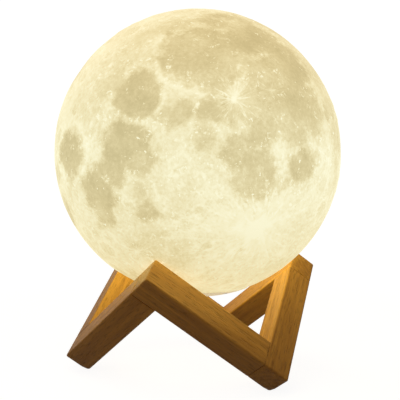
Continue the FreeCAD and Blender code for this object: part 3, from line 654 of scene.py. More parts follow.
# ragged coasts: clouds 8 mm across and finer
coast = add_node(tree, "ShaderNodeTexNoise", Vector=centred.outputs[0], Scale=125.0, Detail=10.0,
                 Roughness=0.70)
coast_push = add_node(tree, "ShaderNodeMapRange", Value=coast.outputs["Fac"], From_Min=0.25,
                      From_Max=0.75, To_Min=-0.27, To_Max=0.27)
sea_raw = add_node(tree, "ShaderNodeMath", {"operation": "ADD"}, _0=channels.outputs[0],
                   _1=coast_push.outputs[0])
sea = add_node(tree, "ShaderNodeMapRange", {"interpolation_type": "SMOOTHSTEP"},
               Value=sea_raw.outputs[0], From_Min=0.35, From_Max=0.65)
# a fringe of bright, broken land lies along the coasts
fringe = add_node(tree, "ShaderNodeMath", {"operation": "SUBTRACT"}, _0=channels.outputs[0],
                  _1=0.46)
fringe = add_node(tree, "ShaderNodeMath", {"operation": "ABSOLUTE"}, _0=fringe.outputs[0])
fringe = add_node(tree, "ShaderNodeMapRange", {"interpolation_type": "SMOOTHSTEP"},
                  Value=fringe.outputs[0], From_Min=0.28, From_Max=0.02)
sea_dark = add_node(tree, "ShaderNodeMath", {"operation": "MULTIPLY"}, _0=sea.outputs[0],
                    _1=channels.outputs[1])
# mottling: clouds 14 mm across, and fine ones of 1.5 mm
broad = add_node(tree, "ShaderNodeTexNoise", Vector=centred.outputs[0], Scale=70.0, Detail=6.0,
                 Roughness=0.6)
fine = add_node(tree, "ShaderNodeTexNoise", Vector=centred.outputs[0], Scale=650.0, Detail=4.0,
                Roughness=0.7)
broad_tone = add_node(tree, "ShaderNodeMapRange", Value=broad.outputs["Fac"], From_Min=0.3,
                      From_Max=0.7, To_Min=-0.09, To_Max=0.09)
# the clouds show most in the seas, whose floor is thin here and thick there
sea_clouds = add_node(tree, "ShaderNodeMapRange", Value=broad.outputs["Fac"], From_Min=0.35,
                      From_Max=0.65, To_Min=1.10, To_Max=0.84)
sea_dark = add_node(tree, "ShaderNodeMath", {"operation": "MULTIPLY"}, _0=sea_dark.outputs[0],
                    _1=sea_clouds.outputs[0])
fine_tone = add_node(tree, "ShaderNodeMapRange", Value=fine.outputs["Fac"], From_Min=0.3,
                     From_Max=0.7, To_Min=-0.17, To_Max=0.17)
# crumpled ridges 4 mm apart, as on the old, battered land
ridges = add_node(tree, "ShaderNodeTexNoise",
                  {"noise_type": "RIDGED_MULTIFRACTAL", "normalize": True},
                  Vector=centred.outputs[0], Scale=240.0, Detail=4.0, Roughness=0.6)
ridge_tone = add_node(tree, "ShaderNodeMapRange", Value=ridges.outputs["Fac"], From_Min=0.2,
                      From_Max=0.9, To_Min=-0.12, To_Max=0.14)
# the fringe's ridges are the brightest
ridge_fringe = add_node(tree, "ShaderNodeMapRange", Value=ridges.outputs["Fac"], From_Min=0.45,
                        From_Max=0.95, To_Min=-0.04, To_Max=0.55)
ridge_fringe = add_node(tree, "ShaderNodeMath", {"operation": "MULTIPLY"},
                        _0=ridge_fringe.outputs[0], _1=fringe.outputs[0])
# thin bright wrinkles, 10 mm apart, that wander over land and sea
wrinkles = add_node(tree, "ShaderNodeTexNoise",
                    {"noise_type": "RIDGED_MULTIFRACTAL", "normalize": True},
                    Vector=centred.outputs[0], Scale=100.0, Detail=3.0, Roughness=0.5,
                    Distortion=0.6)
wrinkle_tone = add_node(tree, "ShaderNodeMapRange", {"interpolation_type": "SMOOTHSTEP"},
                        Value=wrinkles.outputs["Fac"], From_Min=0.72, From_Max=0.95)
# tiny pits that catch the light: specks 0.5 mm across, about 1.8 mm apart, bent out of
# round by clouds 2 mm across, as are the craters below
bend = add_node(tree, "ShaderNodeTexNoise", Vector=centred.outputs[0], Scale=500.0, Detail=2.0)
bend = add_node(tree, "ShaderNodeVectorMath", {"operation": "MULTIPLY_ADD"},
                _0=bend.outputs["Color"], _1=(0.0042, 0.0042, 0.0042), _2=centred.outputs[0])
pits = add_node(tree, "ShaderNodeTexVoronoi", Vector=bend.outputs[0], Scale=560.0)
pit = add_node(tree, "ShaderNodeMapRange", {"interpolation_type": "SMOOTHSTEP"},
               Value=pits.outputs["Distance"], From_Min=0.30, From_Max=0.10)
pit_pick = add_node(tree, "ShaderNodeSeparateColor", Color=pits.outputs["Color"])
pit_some = add_node(tree, "ShaderNodeMapRange", Value=pit_pick.outputs[0], From_Min=0.70,
                    From_Max=0.98)
pit_tone = add_node(tree, "ShaderNodeMath", {"operation": "MULTIPLY"}, _0=pit.outputs[0],
                    _1=pit_some.outputs[0])
# small craters: bright specks 1 mm across, about 3.5 mm apart, and rings of 2 mm
specks = add_node(tree, "ShaderNodeTexVoronoi", Vector=bend.outputs[0], Scale=280.0)
speck = add_node(tree, "ShaderNodeMapRange", {"interpolation_type": "SMOOTHSTEP"},
                 Value=specks.outputs["Distance"], From_Min=0.20, From_Max=0.08)
speck_pick = add_node(tree, "ShaderNodeSeparateColor", Color=specks.outputs["Color"])
speck_some = add_node(tree, "ShaderNodeMapRange", Value=speck_pick.outputs[0], From_Min=0.62,
                      From_Max=0.95)
speck_tone = add_node(tree, "ShaderNodeMath", {"operation": "MULTIPLY"}, _0=speck.outputs[0],
                      _1=speck_some.outputs[0])
arc_cells = add_node(tree, "ShaderNodeTexVoronoi", Vector=bend.outputs[0], Scale=190.0)
arc_off = add_node(tree, "ShaderNodeMath", {"operation": "SUBTRACT"},
                   _0=arc_cells.outputs["Distance"], _1=0.22)
arc_off = add_node(tree, "ShaderNodeMath", {"operation": "ABSOLUTE"}, _0=arc_off.outputs[0])
arc = add_node(tree, "ShaderNodeMapRange", {"interpolation_type": "SMOOTHSTEP"},
               Value=arc_off.outputs[0], From_Min=0.08, From_Max=0.0)
# only some of the rings are there, and only pieces of those, so that they make short arcs
arc_pick = add_node(tree, "ShaderNodeSeparateColor", Color=arc_cells.outputs["Color"])
arc_some = add_node(tree, "ShaderNodeMapRange", Value=arc_pick.outputs[0], From_Min=0.35,
                    From_Max=0.90)
arc_worn = add_node(tree, "ShaderNodeMapRange", {"interpolation_type": "SMOOTHSTEP"},
                    Value=fine.outputs["Fac"], From_Min=0.44, From_Max=0.58)
arc_some = add_node(tree, "ShaderNodeMath", {"operation": "MULTIPLY"}, _0=arc_some.outputs[0],
                    _1=arc_worn.outputs[0])
arc_tone = add_node(tree, "ShaderNodeMath", {"operation": "MULTIPLY"}, _0=arc.outputs[0],
                    _1=arc_some.outputs[0])
# all together: 0 is the darkest sea, 1 the brightest ray
LAND_TONE = 0.68
SEA_DEPTH = 0.53
RAY_TONE = 0.18
STREAK_TONE = 0.56
RIM_TONE = 0.22
total = add_node(tree, "ShaderNodeMath", {"operation": "MULTIPLY_ADD"}, _0=sea_dark.outputs[0],
                 _1=-SEA_DEPTH, _2=LAND_TONE)
for part, share in ((broad_tone, 1.0), (fine_tone, 0.70), (ridge_tone, 0.5), (ridge_fringe, 1.0),
                    (speck_tone, 0.80), (pit_tone, 0.55), (arc_tone, 0.55), (wrinkle_tone, 0.20)):
    total = add_node(tree, "ShaderNodeMath", {"operation": "MULTIPLY_ADD"}, _0=part.outputs[0],
                     _1=share, _2=total.outputs[0])
total = add_node(tree, "ShaderNodeMath", {"operation": "MULTIPLY_ADD"}, _0=channels.outputs[2],
                 _1=RAY_TONE, _2=total.outputs[0])
# thin rays: noise that follows the bearing round a young crater and hardly changes with
# the distance from it, so that it draws streaks, which fade out at the longest ray
aim = add_node(tree, "ShaderNodeVectorMath", {"operation": "NORMALIZE"}, _0=centred.outputs[0])
aim = add_node(tree, "ShaderNodeVectorMath", {"operation": "SUBTRACT"}, _0=aim.outputs[0],
               _1=tuple(PRINT_PULL * PRINT_FRONT))
aim = add_node(tree, "ShaderNodeVectorMath", {"operation": "NORMALIZE"}, _0=aim.outputs[0])
for latitude, longitude, halo, longest, power in RAYED[:NEAR_RAYED]:
    parts = [add_node(tree, "ShaderNodeVectorMath", {"operation": "DOT_PRODUCT"},
                      _0=aim.outputs[0], _1=tuple(line))
             for line in print_compass(latitude, longitude)]
    bearing = add_node(tree, "ShaderNodeCombineXYZ", X=parts[0].outputs["Value"],
                       Y=parts[1].outputs["Value"])
    bearing = add_node(tree, "ShaderNodeVectorMath", {"operation": "NORMALIZE"},
                       _0=bearing.outputs[0])
    away = add_node(tree, "ShaderNodeMath", {"operation": "ARCCOSINE"},
                    _0=parts[2].outputs["Value"])
    outwards = add_node(tree, "ShaderNodeCombineXYZ", Z=away.outputs[0])
    streak_place = add_node(tree, "ShaderNodeVectorMath", {"operation": "ADD"},
                            _0=bearing.outputs[0], _1=outwards.outputs[0])
    streak = add_node(tree, "ShaderNodeTexNoise", Vector=streak_place.outputs[0], Scale=9.0,
                      Detail=3.0, Roughness=0.75)
    streak = add_node(tree, "ShaderNodeMapRange", {"interpolation_type": "SMOOTHSTEP"},
                      Value=streak.outputs["Fac"], From_Min=0.52, From_Max=0.66)
    fade = add_node(tree, "ShaderNodeMapRange", Value=away.outputs[0], From_Min=0.0,
                    From_Max=math.radians(longest), To_Min=1.0, To_Max=0.0)
    fade = add_node(tree, "ShaderNodeMath", {"operation": "POWER"}, _0=fade.outputs[0], _1=1.6)
    ray = add_node(tree, "ShaderNodeMath", {"operation": "MULTIPLY"}, _0=streak.outputs[0],
                   _1=fade.outputs[0])
    total = add_node(tree, "ShaderNodeMath", {"operation": "MULTIPLY_ADD"}, _0=ray.outputs[0],
                     _1=STREAK_TONE * power, _2=total.outputs[0])
rim_part = add_node(tree, "ShaderNodeMath", {"operation": "SUBTRACT"},
                    _0=chart_node.outputs["Alpha"], _1=0.5)
total = add_node(tree, "ShaderNodeMath", {"operation": "MULTIPLY_ADD"}, _0=rim_part.outputs[0],
                 _1=RIM_TONE, _2=total.outputs[0])
tone = add_node(tree, "ShaderNodeValToRGB", Fac=total.outputs[0])
stops = tone.color_ramp.elements
stops[0].position, stops[0].color = 0.05, linear("#CBBE8F")
stops[1].color = linear("#FCFADC")
for position, colour in ((0.25, "#D8CB9C"), (0.50, "#E9DFB3"), (0.72, "#F7F2CE")):
    stops.new(position).color = linear(colour)
# the light is whitest round the middle, and warmer where it comes through aslant, at the
# top and at the bottom
split = add_node(tree, "ShaderNodeSeparateXYZ", Vector=centred.outputs[0])
by_height = add_node(tree, "ShaderNodeMapRange", Value=split.outputs["Z"],
                     From_Min=-BALL_RADIUS, From_Max=BALL_RADIUS)
tint = add_node(tree, "ShaderNodeValToRGB", {"label": "warmth by height"}, Fac=by_height.outputs[0])
tint.color_ramp.interpolation = "EASE"
stops = tint.color_ramp.elements
stops[0].color, stops[1].color = linear("#F2EAD8"), linear("#FDF3E5")
stops.new(0.45).color = linear("#FFFFFF")
warm = add_node(tree, "ShaderNodeVectorMath", {"operation": "MULTIPLY"}, _0=tone.outputs["Color"],
                _1=tint.outputs["Color"])
# most of its brightness is its own light, so the plastic's colour is held back to a quarter
GLOW_STRENGTH = 0.965
UNLIT_SHARE = 0.25
unlit = add_node(tree, "ShaderNodeVectorMath", {"operation": "SCALE"}, _0=warm.outputs[0],
                 Scale=UNLIT_SHARE)
# the surface: sandy grain of the print, and the small craters
bump_height = add_node(tree, "ShaderNodeMath", {"operation": "MULTIPLY_ADD"},
                       _0=fine.outputs["Fac"], _1=0.6, _2=arc_tone.outputs[0])
relief = add_node(tree, "ShaderNodeBump", Strength=0.5, Distance=0.00025,
                  Height=bump_height.outputs[0])
moon = add_node(tree, "ShaderNodeBsdfPrincipled", Base_Color=unlit.outputs[0], Roughness=0.62,
                Specular_IOR_Level=0.2, Emission_Color=warm.outputs[0],
                Emission_Strength=GLOW_STRENGTH, Normal=relief.outputs[0])
add_node(tree, "ShaderNodeOutputMaterial", Surface=moon.outputs[0])
ball.data.materials.append(moon_look)
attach(ball, "moon")
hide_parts("moon_shell")

# What the glowing ball throws on the stand: its light is much stronger than a picture can
# show, so a round lamp of the ball's size adds it. It lights only the bars, and the ball
# doesn't stop it.
GLOW_WATTS = 0.295
glow_lamp = bpy.data.lights.new("moon_glow", "POINT")
glow_lamp.shadow_soft_size = BALL_RADIUS
glow_lamp.use_soft_falloff = False
glow_lamp.energy = GLOW_WATTS
glow_lamp.color = linear("#F0FFAE")[:3]
glow = bpy.data.objects.new("moon_glow", glow_lamp)
glow.matrix_world = Matrix.Translation(BALL_CENTRE)
bpy.context.scene.collection.objects.link(glow)
lit_by_glow = bpy.data.collections.new("lit_by_glow")
for bar in bars:
    lit_by_glow.objects.link(bar)
glow.light_linking.receiver_collection = lit_by_glow
glow.light_linking.blocker_collection = lit_by_glow
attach(glow, "moon")

# ------------------------------------------------------------------ the base in the mouth
# A cup and a lid of white ABS, moulded. The cup is pressed into the ball's mouth and
# carries the battery tube; the lid goes in from below and carries on the ball's curve.
abs_look, tree = new_material("moulded_white_abs_painted_glow")
# The mould was spark-eroded, which leaves a fine even grain and no shine. The grain is
# drawn 0.4 mm wide, as the real 0.08 mm would not show. Its warm glow is painted light,
# much more than would come through, so that the lid looks as lit as the ball's underside.
where = add_node(tree, "ShaderNodeTexCoord")
spark = add_node(tree, "ShaderNodeTexNoise", Vector=where.outputs["Object"], Scale=2500.0,
                 Detail=2.0)
flow = add_node(tree, "ShaderNodeTexNoise", Vector=where.outputs["Object"], Scale=60.0, Detail=2.0)
abs_tone = add_node(tree, "ShaderNodeMix", {"data_type": "RGBA"}, Factor=flow.outputs["Fac"],
                    _6=linear("#EFE9D8"), _7=linear("#E6DFCB"))
abs_gloss = add_node(tree, "ShaderNodeMapRange", Value=spark.outputs["Fac"], From_Min=0.3,
                     From_Max=0.7, To_Min=0.42, To_Max=0.56)
abs_bump = add_node(tree, "ShaderNodeBump", Strength=0.35, Distance=0.00005,
                    Height=spark.outputs["Fac"])
# the emission is painted light: a warm glow that makes the lid look lit from below
abs_white_painted_glow = add_node(tree, "ShaderNodeBsdfPrincipled", Base_Color=abs_tone.outputs[2],
                     Roughness=abs_gloss.outputs[0], Normal=abs_bump.outputs[0],
                     Emission_Color=linear("#F3DFAE"), Emission_Strength=0.46)
add_node(tree, "ShaderNodeOutputMaterial", Surface=abs_white_painted_glow.outputs[0])
finish_nodes(abs_look, "base_housing", "base_cover")

# ------------------------------------------------------------------ the battery in its tube
# A round lithium cell, 14.2 x 50 mm, stands in a tube of white PETG between two spring
# discs of nickel-plated bronze. The tube's foot sits in a collar on the base.
tube_look, tree = new_material("printed_petg_tube")
# Printed like the ball: fine rings 0.4 mm apart go round it, and it shines a little.
LAYER_HEIGHT = 0.0004
where = add_node(tree, "ShaderNodeTexCoord")
split = add_node(tree, "ShaderNodeSeparateXYZ", Vector=where.outputs["Object"])
layer = add_node(tree, "ShaderNodeMath", {"operation": "MULTIPLY"}, _0=split.outputs["Z"],
                 _1=2 * math.pi / LAYER_HEIGHT)
layer = add_node(tree, "ShaderNodeMath", {"operation": "SINE"}, _0=layer.outputs[0])
cloud = add_node(tree, "ShaderNodeTexNoise", Vector=where.outputs["Object"], Scale=150.0,
                 Detail=3.0)
tube_tone = add_node(tree, "ShaderNodeMix", {"data_type": "RGBA"}, Factor=cloud.outputs["Fac"],
                     _6=linear("#F1EEE4"), _7=linear("#E2DECF"))
tube_bump = add_node(tree, "ShaderNodeBump", Strength=0.4, Distance=0.00006,
                     Height=layer.outputs[0])
tube = add_node(tree, "ShaderNodeBsdfPrincipled", Base_Color=tube_tone.outputs[2], Roughness=0.36,
                Normal=tube_bump.outputs[0])
add_node(tree, "ShaderNodeOutputMaterial", Surface=tube.outputs[0])
finish_nodes(tube_look, "battery_tube", "lamp_holder")

nickel_look, tree = new_material("nickel_plated_bronze")
# Stamped from strip and plated: bright and faintly yellow, with streaks of the rolling.
where = add_node(tree, "ShaderNodeTexCoord")
rolled = add_node(tree, "ShaderNodeMapping", Vector=where.outputs["Object"],
                  Scale=(200.0, 4000.0, 4000.0))
streak = add_node(tree, "ShaderNodeTexNoise", Vector=rolled.outputs[0], Scale=1.0, Detail=2.0)
nickel_tone = add_node(tree, "ShaderNodeMix", {"data_type": "RGBA"}, Factor=streak.outputs["Fac"],
                       _6=linear("#C9C2B1"), _7=linear("#B0A997"))
nickel_gloss = add_node(tree, "ShaderNodeMapRange", Value=streak.outputs["Fac"], To_Min=0.22,
                        To_Max=0.40)
nickel = add_node(tree, "ShaderNodeBsdfPrincipled", Base_Color=nickel_tone.outputs[2], Metallic=1.0,
                  Roughness=nickel_gloss.outputs[0])
add_node(tree, "ShaderNodeOutputMaterial", Surface=nickel.outputs[0])
finish_nodes(nickel_look, "lower_contact", "upper_contact")

sleeve_look, tree = new_material("shrunk_pvc_sleeve")
# A plain grey-blue sleeve, shrunk over the can with heat: glossy and faintly crinkled. The
# cap above it is bare nickel-plated steel.
CELL_SHOULDER = 0.1036
where = add_node(tree, "ShaderNodeTexCoord")
split = add_node(tree, "ShaderNodeSeparateXYZ", Vector=where.outputs["Object"])
is_cap = add_node(tree, "ShaderNodeMath", {"operation": "GREATER_THAN"}, _0=split.outputs["Z"],
                  _1=CELL_SHOULDER)
crinkle = add_node(tree, "ShaderNodeTexNoise", Vector=where.outputs["Object"], Scale=500.0,
                   Detail=2.0)
sleeve_blue = add_node(tree, "ShaderNodeMix", {"data_type": "RGBA"}, Factor=crinkle.outputs["Fac"],
                       _6=linear("#4A6078"), _7=linear("#3F5468"))
sleeve_bump = add_node(tree, "ShaderNodeBump", Strength=0.25, Distance=0.00008,
                       Height=crinkle.outputs["Fac"])
sleeve = add_node(tree, "ShaderNodeBsdfPrincipled", Base_Color=sleeve_blue.outputs[2],
                  Roughness=0.28, Normal=sleeve_bump.outputs[0])
cap = add_node(tree, "ShaderNodeBsdfPrincipled", Base_Color=linear("#C3C2BE"), Metallic=1.0,
               Roughness=0.3)
cell = add_node(tree, "ShaderNodeMixShader", _0=is_cap.outputs[0], _1=sleeve.outputs[0],
                _2=cap.outputs[0])
add_node(tree, "ShaderNodeOutputMaterial", Surface=cell.outputs[0])
finish_nodes(sleeve_look, "battery_cell")

# ------------------------------------------------------------------ the lamp on the tube
# Six white light chips on a round aluminium board, under a frosted dome, at the middle of
# the ball. Two insulated wires run up beside the tube and feed them.
lamp_board_look, tree = new_material("white_solder_mask")
# White lacquer on aluminium: smooth and slightly glossy, mottled a little by the oven.
where = add_node(tree, "ShaderNodeTexCoord")
mottle = add_node(tree, "ShaderNodeTexNoise", Vector=where.outputs["Object"], Scale=300.0,
                  Detail=3.0)
lacquer = add_node(tree, "ShaderNodeMix", {"data_type": "RGBA"}, Factor=mottle.outputs["Fac"],
                   _6=linear("#F2F1EC"), _7=linear("#E3E1D8"))
lamp_board_white = add_node(tree, "ShaderNodeBsdfPrincipled", Base_Color=lacquer.outputs[2],
                            Roughness=0.35)
add_node(tree, "ShaderNodeOutputMaterial", Surface=lamp_board_white.outputs[0])
finish_nodes(lamp_board_look, "lamp_board")

chip_look, tree = new_material("phosphor_in_white_resin")
# A white moulded cup with a pool of yellow phosphor, 2 mm wide, that glows warm white.
CHIP_RING = 0.0075
POOL_HALF = 0.0010
where = add_node(tree, "ShaderNodeTexCoord")
flat = add_node(tree, "ShaderNodeVectorMath", {"operation": "MULTIPLY"}, _0=where.outputs["Object"],
                _1=(1.0, 1.0, 0.0))
off = add_node(tree, "ShaderNodeVectorMath", {"operation": "LENGTH"}, _0=flat.outputs[0])
off = add_node(tree, "ShaderNodeMath", {"operation": "SUBTRACT"}, _0=off.outputs["Value"],
               _1=CHIP_RING)
off = add_node(tree, "ShaderNodeMath", {"operation": "ABSOLUTE"}, _0=off.outputs[0])
pool = add_node(tree, "ShaderNodeMapRange", {"interpolation_type": "SMOOTHSTEP"},
                Value=off.outputs[0], From_Min=POOL_HALF * 1.1, From_Max=POOL_HALF * 0.9)
surface = add_node(tree, "ShaderNodeNewGeometry")
upward = add_node(tree, "ShaderNodeSeparateXYZ", Vector=surface.outputs["Normal"])
pool = add_node(tree, "ShaderNodeMath", {"operation": "MULTIPLY"}, _0=pool.outputs[0],
                _1=upward.outputs["Z"])
chip_tone = add_node(tree, "ShaderNodeMix", {"data_type": "RGBA"}, Factor=pool.outputs[0],
                     _6=linear("#F0EEE8"), _7=linear("#EFCB55"))
chip_glow = add_node(tree, "ShaderNodeMix", {"data_type": "RGBA"}, Factor=pool.outputs[0],
                     _6=linear("#000000"), _7=linear("#FFE3A6"))
chip = add_node(tree, "ShaderNodeBsdfPrincipled", Base_Color=chip_tone.outputs[2], Roughness=0.45,
                Emission_Color=chip_glow.outputs[2], Emission_Strength=1.0)
add_node(tree, "ShaderNodeOutputMaterial", Surface=chip.outputs[0])
finish_nodes(chip_look, "light_chips")

dome_look, tree = new_material("frosted_polycarbonate")
# Blown thin and sand-blasted inside: milky, with a fine satin surface, and lit all over.
where = add_node(tree, "ShaderNodeTexCoord")
satin = add_node(tree, "ShaderNodeTexNoise", Vector=where.outputs["Object"], Scale=1800.0,
                 Detail=2.0)
satin_gloss = add_node(tree, "ShaderNodeMapRange", Value=satin.outputs["Fac"], To_Min=0.45,
                       To_Max=0.65)
dome = add_node(tree, "ShaderNodeBsdfPrincipled", Base_Color=linear("#F6F3E8"),
                Roughness=satin_gloss.outputs[0], IOR=1.58, Transmission_Weight=0.5,
                Emission_Color=linear("#FFE9B8"), Emission_Strength=0.6)
add_node(tree, "ShaderNodeOutputMaterial", Surface=dome.outputs[0])
finish_nodes(dome_look, "lamp_dome")

wire_look, tree = new_material("silicone_insulation")
# Soft silicone over stranded copper, one wire red and one black, dulled by a trace of talc.
where = add_node(tree, "ShaderNodeTexCoord")
split = add_node(tree, "ShaderNodeSeparateXYZ", Vector=where.outputs["Object"])
is_red = add_node(tree, "ShaderNodeMath", {"operation": "GREATER_THAN"}, _0=split.outputs["X"],
                  _1=0.0)
wire_tone = add_node(tree, "ShaderNodeMix", {"data_type": "RGBA"}, Factor=is_red.outputs[0],
                     _6=linear("#26262A"), _7=linear("#B3262B"))
talc = add_node(tree, "ShaderNodeTexNoise", Vector=where.outputs["Object"], Scale=900.0, Detail=3.0)
talc_gloss = add_node(tree, "ShaderNodeMapRange", Value=talc.outputs["Fac"], To_Min=0.42,
                      To_Max=0.70)
wire = add_node(tree, "ShaderNodeBsdfPrincipled", Base_Color=wire_tone.outputs[2],
                Roughness=talc_gloss.outputs[0])
add_node(tree, "ShaderNodeOutputMaterial", Surface=wire.outputs[0])
finish_nodes(wire_look, "lamp_wires")

# ------------------------------------------------------------------ the control board
# A round board of glass-fibre laminate hangs under the base's plate on two screws. It
# carries the control chip on top, and the switch and the charging socket below.
board_look, tree = new_material("glass_fibre_laminate")
# Green lacquer over the weave of the glass cloth, 0.6 mm apart, and paler where copper
# tracks run under it; the sawn edge shows the pale laminate.
WEAVE_SPACING = 0.0006
where = add_node(tree, "ShaderNodeTexCoord")
threads = add_node(tree, "ShaderNodeVectorMath", {"operation": "SCALE"}, _0=where.outputs["Object"],
                   Scale=2 * math.pi / WEAVE_SPACING)
threads = add_node(tree, "ShaderNodeVectorMath", {"operation": "SINE"}, _0=threads.outputs[0])
threads = add_node(tree, "ShaderNodeSeparateXYZ", Vector=threads.outputs[0])
weave = add_node(tree, "ShaderNodeMath", {"operation": "MULTIPLY"}, _0=threads.outputs["X"],
                 _1=threads.outputs["Y"])
tracks = add_node(tree, "ShaderNodeTexVoronoi", {"distance": "CHEBYCHEV"},
                  Vector=where.outputs["Object"], Scale=280.0)
track = add_node(tree, "ShaderNodeMapRange", {"interpolation_type": "SMOOTHSTEP"},
                 Value=tracks.outputs["Distance"], From_Min=0.42, From_Max=0.46)
mask_tone = add_node(tree, "ShaderNodeMix", {"data_type": "RGBA"}, Factor=track.outputs[0],
                     _6=linear("#1E5C3C"), _7=linear("#2F7A50"))
surface = add_node(tree, "ShaderNodeNewGeometry")
upward = add_node(tree, "ShaderNodeSeparateXYZ", Vector=surface.outputs["Normal"])
is_face = add_node(tree, "ShaderNodeMath", {"operation": "ABSOLUTE"}, _0=upward.outputs["Z"])
board_tone = add_node(tree, "ShaderNodeMix", {"data_type": "RGBA"}, Factor=is_face.outputs[0],
                      _6=linear("#B9AE7C"), _7=mask_tone.outputs[2])
board_bump = add_node(tree, "ShaderNodeBump", Strength=0.2, Distance=0.00003,
                      Height=weave.outputs[0])
board = add_node(tree, "ShaderNodeBsdfPrincipled", Base_Color=board_tone.outputs[2], Roughness=0.3,
                 Normal=board_bump.outputs[0])
add_node(tree, "ShaderNodeOutputMaterial", Surface=board.outputs[0])
finish_nodes(board_look, "main_board")

black_look, tree = new_material("black_glass_filled_nylon")
# Moulded black nylon: dull, with a slight bloom where the glass fibres come to the face.
where = add_node(tree, "ShaderNodeTexCoord")
bloom = add_node(tree, "ShaderNodeTexNoise", Vector=where.outputs["Object"], Scale=1400.0,
                 Detail=3.0)
black_tone = add_node(tree, "ShaderNodeMix", {"data_type": "RGBA"}, Factor=bloom.outputs["Fac"],
                      _6=linear("#1D1E20"), _7=linear("#303235"))
black_gloss = add_node(tree, "ShaderNodeMapRange", Value=bloom.outputs["Fac"], To_Min=0.42,
                       To_Max=0.62)
black = add_node(tree, "ShaderNodeBsdfPrincipled", Base_Color=black_tone.outputs[2],
                 Roughness=black_gloss.outputs[0])
add_node(tree, "ShaderNodeOutputMaterial", Surface=black.outputs[0])
finish_nodes(black_look, "switch_body", "switch_stem", "control_chip")

# ------------------------------------------------------------------ the charging socket
# A stamped steel shell, 9 x 3.3 mm with round ends, soldered to the board and open
# downwards. Its black tongue carries a row of gold contacts on each face.
shell_look, tree = new_material("nickel_plated_steel_shell")
# Folded from bright plated strip: grey with a silky streak along the draw, 0.2 mm apart.
where = add_node(tree, "ShaderNodeTexCoord")
drawn = add_node(tree, "ShaderNodeMapping", Vector=where.outputs["Object"],
                 Scale=(5000.0, 5000.0, 250.0))
draw = add_node(tree, "ShaderNodeTexNoise", Vector=drawn.outputs[0], Scale=1.0, Detail=2.0)
shell_tone = add_node(tree, "ShaderNodeMix", {"data_type": "RGBA"}, Factor=draw.outputs["Fac"],
                      _6=linear("#C6C6C4"), _7=linear("#A9AAAA"))
shell_gloss = add_node(tree, "ShaderNodeMapRange", Value=draw.outputs["Fac"], To_Min=0.20,
                       To_Max=0.38)
shell_steel = add_node(tree, "ShaderNodeBsdfPrincipled", Base_Color=shell_tone.outputs[2],
                       Metallic=1.0, Roughness=shell_gloss.outputs[0])
add_node(tree, "ShaderNodeOutputMaterial", Surface=shell_steel.outputs[0])
finish_nodes(shell_look, "charge_port")

tongue_look, tree = new_material("contacts_in_black_resin")
# Gold-plated contacts, 0.25 mm wide and 0.5 mm apart, flush in a black moulded tongue. They
# end a little above its tip.
CONTACT_SPACING = 0.0005
BARE_TIP = 0.0006
where = add_node(tree, "ShaderNodeTexCoord")
split = add_node(tree, "ShaderNodeSeparateXYZ", Vector=where.outputs["Object"])
row_wave = add_node(tree, "ShaderNodeMath", {"operation": "MULTIPLY"}, _0=split.outputs["X"],
                    _1=2 * math.pi / CONTACT_SPACING)
row_wave = add_node(tree, "ShaderNodeMath", {"operation": "COSINE"}, _0=row_wave.outputs[0])
on_contact = add_node(tree, "ShaderNodeMapRange", {"interpolation_type": "SMOOTHSTEP"},
                      Value=row_wave.outputs[0], From_Min=-0.1, From_Max=0.1)
above_tip = add_node(tree, "ShaderNodeMath", {"operation": "GREATER_THAN"}, _0=split.outputs["Z"],
                     _1=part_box("port_tongue")[0][2] + BARE_TIP)
on_contact = add_node(tree, "ShaderNodeMath", {"operation": "MULTIPLY"}, _0=on_contact.outputs[0],
                      _1=above_tip.outputs[0])
resin = add_node(tree, "ShaderNodeBsdfPrincipled", Base_Color=linear("#1B1B1D"), Roughness=0.45)
gold = add_node(tree, "ShaderNodeBsdfPrincipled", Base_Color=linear("#E0B252"), Metallic=1.0,
                Roughness=0.25)
tongue = add_node(tree, "ShaderNodeMixShader", _0=on_contact.outputs[0], _1=resin.outputs[0],
                  _2=gold.outputs[0])
add_node(tree, "ShaderNodeOutputMaterial", Surface=tongue.outputs[0])
finish_nodes(tongue_look, "port_tongue")

# ------------------------------------------------------------------ the charging light
# A clear rod of polycarbonate brings the light of a chip on the board down to the lid.
# It has a domed tip, 2.4 mm wide, and a collar that rests on the lid from inside.
LIGHT_PLACE = (0.0, 0.0138)
LIGHT_RADIUS = 0.0012
LIGHT_COLLAR = 0.0020
COLLAR_HEIGHT = 0.0008
TIP_HEIGHT = 0.0006
light_low, light_high = [corner[2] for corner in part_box("charge_light")]
# the level of the lid's inner face, above the ball's underside
LID_DEPTH = 0.0038
LID_INSIDE = BALL_CENTRE[2] - BALL_RADIUS + LID_DEPTH


def eased(corners, rounds, steps=5):
    """A profile whose corners are rounded: a corner gives way to a curve between the points
    a and b that stand its round away from it on either side, (1-t)^2 a + 2t(1-t) corner + t^2 b."""
    rows = []
    for k, (corner, ease) in enumerate(zip(corners, rounds)):
        corner = np.array(corner)
        before, after = np.array(corners[k - 1]), np.array(corners[(k + 1) % len(corners)])
        a = corner + (before - corner) * ease / np.linalg.norm(before - corner)
        b = corner + (after - corner) * ease / np.linalg.norm(after - corner)
        t = np.linspace(0, 1, steps if ease else 1)[:, None]
        rows.append((1 - t) ** 2 * a + 2 * t * (1 - t) * corner + t ** 2 * b)
    return np.concatenate(rows)


def turned(profile, place, turn_steps):
    """A profile of radii and heights turned round an upright axis: the point at angle a is
    place + radius (cos a, sin a). Its first and last points, on the axis, are single poles."""
    a = np.arange(turn_steps) * 2 * math.pi / turn_steps
    radius, level = profile[1:-1, 0], profile[1:-1, 1]
    x = place[0] + np.outer(radius, np.cos(a))
    y = place[1] + np.outer(radius, np.sin(a))
    z = np.repeat(level[:, None], turn_steps, 1)
    rings = np.stack([x, y, z], -1).reshape(-1, 3)
    poles = [(*place, profile[0, 1]), (*place, profile[-1, 1])]
    points = np.concatenate([poles[:1], rings, poles[1:]])
    return points, closed_tube_faces(len(profile) - 2, turn_steps)


